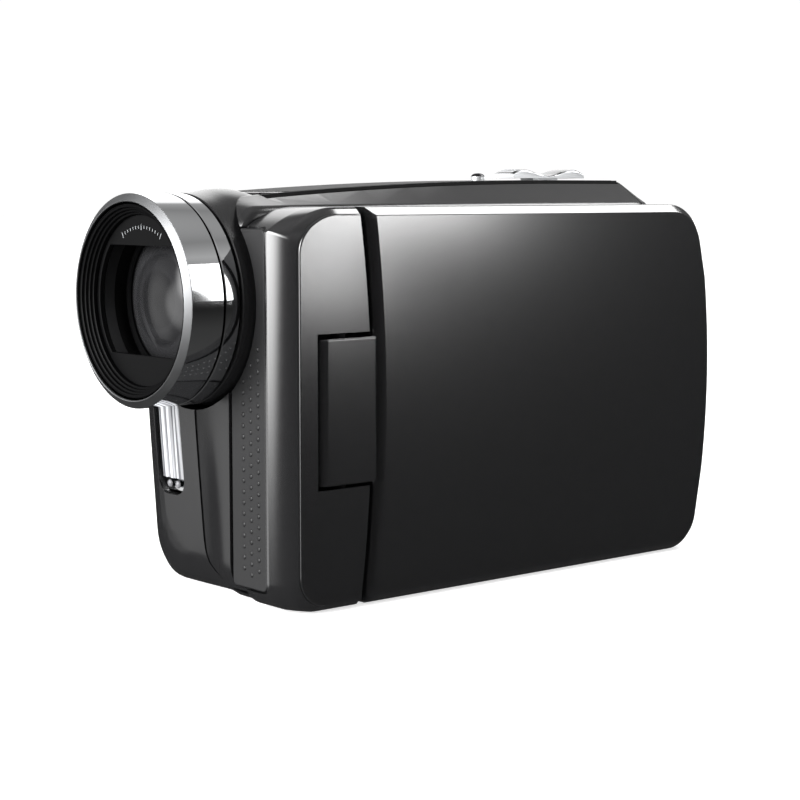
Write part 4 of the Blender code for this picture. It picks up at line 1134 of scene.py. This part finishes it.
def make_strap():
    """Woven strap swept along its path, with its length and width as the weave's UV map."""
    path = strap_path()
    lengths = [0.0]
    for first, second in zip(path, path[1:]):
        lengths.append(lengths[-1] + (second - first).length)
    thin, half = STRAP_THICK / 2, STRAP_HALF
    edge = [(-thin, half - 0.35), (-thin * 0.5, half - 0.08), (0.0, half), (thin * 0.5, half - 0.08),
            (thin, half - 0.35)]
    section = [(u, -v) for u, v in edge] + [(thin, half * t) for t in (-0.6, -0.2, 0.2, 0.6)]
    section += reversed(edge)
    work = bmesh.new()
    rings, spots = [], {}
    for i, point in enumerate(path):
        along = (path[min(i + 1, len(path) - 1)] - path[max(i - 1, 0)]).normalized()
        ring = []
        for u, v in section:
            spot = point + Vector((-along.y, along.x)) * u
            ring.append(work.verts.new(Vector((spot.x, spot.y, STRAP_Z + v)) * MM))
            spots[ring[-1]] = (lengths[i], v)
        rings.append(ring)
    skin(work, rings)
    uv = work.loops.layers.uv.new("UVMap")
    for face in work.faces:
        for loop in face.loops:
            loop[uv].uv = spots[loop.vert]
    cap_ends(work, rings)
    settle(from_bmesh("strap_webbing", work, webbing_look(), 50.0), "body", "webbing", "hand_strap")


def make_stitches():
    """Box stitching through the doubled webbing beside each bar."""
    thread = Look("stitch_thread", (0.05, 0.05, 0.052), 0.6)
    thread.bump(thread.noise(6000.0, 1.0), 0.00002, 0.4)
    thread.tint(thread.span(thread.noise(900.0, 1.0), 0.0, 0.5), (0.08, 0.08, 0.082))
    work = bmesh.new()
    surface = -STRAP_THICK * 1.5 - 0.62
    for mirror in (False, True):
        for row in (-6.2, 6.2):
            for step in range(5):
                s = 0.135 + 0.014 * step
                ends = [strap_offset(t, surface) for t in (s, s + 0.009)]
                if mirror:
                    ends = [mirrored(p) for p in reversed(ends)]
                start, end = [Vector((p.x, p.y, STRAP_Z + row)) for p in ends]
                outward = -(end - start).cross(Vector((0, 0, 1))).normalized()
                rib(work, start, end, 0.16, outward, 0.1)
        for s in (0.13, 0.2):
            p = strap_offset(s, surface)
            if mirror:
                p = mirrored(p)
            for z in [STRAP_Z - 5.9 + 1.55 * step for step in range(8)]:
                rib(work, Vector((p.x, p.y, z)), Vector((p.x, p.y, z + 1.0)), 0.16, Vector((-1, 0, 0)), 0.1)
    settle(from_bmesh("strap_stitches", work, thread, 50.0), "body", "webbing")


def pad_place(a, b, rise):
    """A point of the pad: a along the strap and b across it, both from -1 to 1."""
    spot = strap_offset(PAD_FIRST + (PAD_LAST - PAD_FIRST) * (a + 1) / 2,
                        STRAP_THICK / 2 + PAD_THICK / 2 + GAP + rise)
    return Vector((spot.x, spot.y, STRAP_Z + b * (PAD_HIGH.z - PAD_LOW.z) / 2)) * MM


def make_pad():
    """Crowned pad under the strap: both faces thin towards a shared edge."""
    along_steps, across_steps = 40, 24
    work = bmesh.new()
    verts = {}
    for side in (-1, 1):
        for i in range(along_steps + 1):
            for k in range(across_steps + 1):
                a, b = 2 * i / along_steps - 1, 2 * k / across_steps - 1
                corner = max(0.0, abs(a) - 0.86) / 0.14, max(0.0, abs(b) - 0.72) / 0.28
                crown = max(0.0, (1 - abs(a) ** 6) * (1 - abs(b) ** 6)) ** 0.5
                ripple = 0.93 + 0.07 * math.cos(5 * a) * math.cos(3 * b)
                narrow = (1 - 0.05 * min(1.0, math.hypot(*corner)) * corner[0]) * (1 - 0.035 * (1 - a * a))
                edge = crown < 1e-6
                if edge and side > 0:
                    verts[side, i, k] = verts[-1, i, k]
                else:
                    rise = side * PAD_THICK / 2 * crown * ripple
                    verts[side, i, k] = work.verts.new(pad_place(a, b * narrow, rise))
    for side in (-1, 1):
        for i in range(along_steps):
            for k in range(across_steps):
                work.faces.new([verts[side, i + m, k + n] for m, n in ((0, 0), (1, 0), (1, 1), (0, 1))])
    pad = from_bmesh("pad_cushion", work, padding_look(), 180.0)
    soft = pad.modifiers.new("smooth", "SUBSURF")
    soft.levels = soft.render_levels = 1
    freeze(pad, angle=180.0)
    settle(pad, "body", "padding", "strap_pad")


def make_piping():
    """Round piping along the pad's seam."""
    steps, sides, radius, squareness = 120, 10, 0.45 * MM, 0.32

    def squared(value):
        return math.copysign(abs(value) ** squareness, value)

    turns = [2 * math.pi * step / steps for step in range(steps)]
    path = [pad_place(squared(math.cos(t)) * 0.995, squared(math.sin(t)) * 0.955, 0.0) for t in turns]
    work = bmesh.new()
    rings = []
    for i, point in enumerate(path):
        tangent = (path[(i + 1) % steps] - path[i - 1]).normalized()
        normal = (Vector((1, 0, 0)) - tangent * tangent.x).normalized()
        other = tangent.cross(normal)
        rings.append([work.verts.new(point + (normal * math.cos(t) + other * math.sin(t)) * radius)
                      for t in [2 * math.pi * k / sides for k in range(sides)]])
    skin(work, rings, closed=True)
    settle(from_bmesh("pad_piping", work, RUBBER, 60.0), "body", "padding")


def make_lugs():
    """Bent-wire loops that hold the strap's ends."""
    for node in ("strap_lug_front", "strap_lug_rear"):
        low, high = cad(node)
        outline = rectangle(low.x, low.z, high.x, high.z, 1.0, 6)
        lug = prism(node + "_wire", outline, "Y", low.y, high.y, STEEL, (0.3, 0.3))
        eye = rectangle(STRAP_BAR_X + 0.9, STRAP_Z - 8.6, high.x - 0.6, STRAP_Z + 8.6, 0.5, 4)
        combine(lug, prism(node + "_eye", eye, "Y", low.y - 5, high.y + 5, STEEL))
        discard(freeze(lug, 0.2))
        settle(lug, "body", "steel", node)


# --- Parts that keep their CAD shape -------------------------------------------
def circuit_look():
    look = Look("circuit_board", (0.012, 0.09, 0.035), 0.38)
    cells = look.node("TexBrick", look.place, Scale=420.0, Mortar_Size=0.03).outputs["Fac"]
    look.tint(cells, (0.05, 0.2, 0.08))
    return look.bump(cells, 0.00006, 0.6)


def screen_look():
    look = Look("display_glass", (0.008, 0.009, 0.012), 0.06)
    look.set("Coat Weight", 0.6)
    look.rough(look.span(look.noise(260.0, 3.0), 0.05, 0.09))
    look.tint(look.span(look.noise(120.0, 1.0), 0.0, 0.5), (0.012, 0.014, 0.02))
    return look.bump(look.noise(1500.0, 1.0), 0.000001, 0.3)


def carry_over():
    circuit, screen = circuit_look(), screen_look()
    wrap = moulded("battery_wrap", (0.03, 0.032, 0.05), 0.42)
    looks = {
        "lens_tube": BLACK, "zoom_carriage": BLACK, "image_sensor": screen, "image_processor": BLACK,
        "memory_card": TRIM, "speaker": BLACK, "microphone": BLACK, "lcd_bezel": TRIM, "lcd_display": screen,
        "lcd_backlight": SILVER, "battery": wrap, "sensor_board": circuit, "main_board": circuit,
        "guide_rod_left": STEEL, "guide_rod_right": STEEL, "lead_screw": STEEL, "zoom_motor": STEEL,
        "hinge_pin": TRIM, "tilt_shaft": STEEL, "rocker_pin": STEEL,
    }
    for node, look in looks.items():
        carry(node, look)


# --- Stage, light and camera ---------------------------------------------------
def make_stage():
    """Pale floor and a plain white surround that only the camera sees."""
    look = Look("pale_floor", (0.80, 0.80, 0.80), 0.9)
    look.set("Specular IOR Level", 0.0)
    look.set("Emission Color", (1.0, 1.0, 1.0, 1.0))
    look.set("Emission Strength", 0.68)
    look.tint(look.span(look.noise(0.8, 2.0), 0.0, 0.3), (0.82, 0.82, 0.82))
    work = bmesh.new()
    bmesh.ops.create_circle(work, cap_ends=True, radius=4.0, segments=96)
    floor = from_bmesh("floor", work, look)
    floor.visible_glossy = floor.visible_shadow = False

    white = Look("surround_white", (0.0, 0.0, 0.0), 1.0)
    white.set("Emission Color", (1.0, 1.0, 1.0, 1.0))
    white.set("Emission Strength", 1.0)
    work = bmesh.new()
    bmesh.ops.create_uvsphere(work, u_segments=64, v_segments=32, radius=4.0)
    bmesh.ops.reverse_faces(work, faces=work.faces)
    surround = from_bmesh("surround", work, white)
    for ray in ("diffuse", "glossy", "transmission", "volume_scatter", "shadow"):
        setattr(surround, "visible_" + ray, False)


PATCHES = (  # direction, full and zero angles in degrees, brightness
    ((-0.78, -0.61, -0.10), 3.0, 20.0, 0.8),
    ((-0.75, 0.565, 0.342), 10.0, 24.0, 1.8),
    ((-0.48, -0.87, -0.10), 4.0, 17.0, 2.6),
    ((-0.12, -0.94, 0.31), 10.0, 29.0, 16.0),
)


def make_world():
    """Studio surroundings by direction: dark below, grey ceiling, and soft bright patches."""
    world = bpy.data.worlds.new("studio")
    bpy.context.scene.world = world
    world.use_nodes = True
    tree = world.node_tree
    direction = add_node(tree, "TexCoord").outputs["Generated"]
    split = add_node(tree, "SeparateXYZ", direction)
    height = add_node(tree, "MapRange", split.outputs["Z"], From_Min=-1.0)
    ramp = add_node(tree, "ValToRGB", height.outputs["Result"])
    stops = ((-1.0, 0.06), (-0.4, 0.04), (-0.12, 0.015), (-0.02, 0.02), (0.05, 0.10), (0.35, 0.14),
             (0.5, 0.28), (0.62, 0.42), (0.76, 0.24), (0.9, 0.4), (1.0, 0.6))
    fill_ramp(ramp, [((rise + 1) / 2, level) for rise, level in stops])
    total = ramp.outputs["Color"]
    for axis, full, zero, level in PATCHES:
        facing = add_node(tree, "VectorMath", direction, "DOT_PRODUCT")
        facing.inputs[1].default_value = Vector(axis).normalized()
        fade = add_node(tree, "MapRange", facing.outputs["Value"], To_Max=level,
                        From_Min=math.cos(math.radians(zero)), From_Max=math.cos(math.radians(full)))
        fade.interpolation_type = "SMOOTHSTEP"
        joined = add_node(tree, "VectorMath", total, "ADD")
        tree.links.new(fade.outputs["Result"], joined.inputs[1])
        total = joined.outputs["Vector"]
    tree.links.new(total, tree.nodes["Background"].inputs["Color"])


def soft_box(name, place_mm, target_mm, width, height, brightness):
    """A rectangular studio light; brightness is the radiance of its face."""
    light = bpy.data.lights.new(name, "AREA")
    light.shape, light.size, light.size_y = "RECTANGLE", width, height
    light.energy = brightness * math.pi * width * height
    lamp = bpy.data.objects.new(name, light)
    bpy.context.scene.collection.objects.link(lamp)
    lamp.location = Vector(place_mm) * MM
    lamp.rotation_euler = (Vector(target_mm) - Vector(place_mm)).to_track_quat("-Z", "Y").to_euler()
    lamp.visible_camera = False


def make_lights():
    soft_box("tall_right_rear", (487, 352, 232), (20, -20, 45), 0.14, 0.375, 3.0)
    soft_box("glow_right_rear", (481, 369, 74), (24, -20, 57), 0.07, 0.05, 15.0)
    soft_box("glow_pod", (499, 331, 62), (24, -35, 50), 0.04, 0.1, 11.0)
    soft_box("top_strip", (40, 125, 174), (24, 12, 60), 0.05, 0.12, 12.0)


def make_camera():
    """Three-quarter front view from the screen side, a little above the horizon."""
    camera = bpy.data.objects.new("camera", bpy.data.cameras.new("camera"))
    bpy.context.scene.collection.objects.link(camera)
    bpy.context.scene.camera = camera
    camera.data.sensor_width, camera.data.lens = 36.0, 86.06
    azimuth, elevation, distance = math.radians(49.776), math.radians(6.277), 330.0
    back = Vector((math.sin(azimuth) * math.cos(elevation), -math.cos(azimuth) * math.cos(elevation),
                   math.sin(elevation)))
    target = Vector((-5.0, 3.84, 26.81))
    camera.location = (target + back * distance) * MM
    camera.rotation_mode = "QUATERNION"
    camera.rotation_quaternion = (-back).to_track_quat("-Z", "Y")
    camera.data.clip_start, camera.data.clip_end = 0.01, 50.0


make_casings()
make_top_trim()
make_pod_frame()
make_lcd_panel()
make_hinge_barrel()
make_grip_strip()
make_lamp()
make_lamp_inside()
make_lens()
make_rocker()
make_buttons()
make_rear_parts()
make_screws()
make_base_parts()
make_strap()
make_stitches()
make_pad()
make_piping()
make_lugs()
carry_over()
make_stage()
make_world()
make_lights()
make_camera()
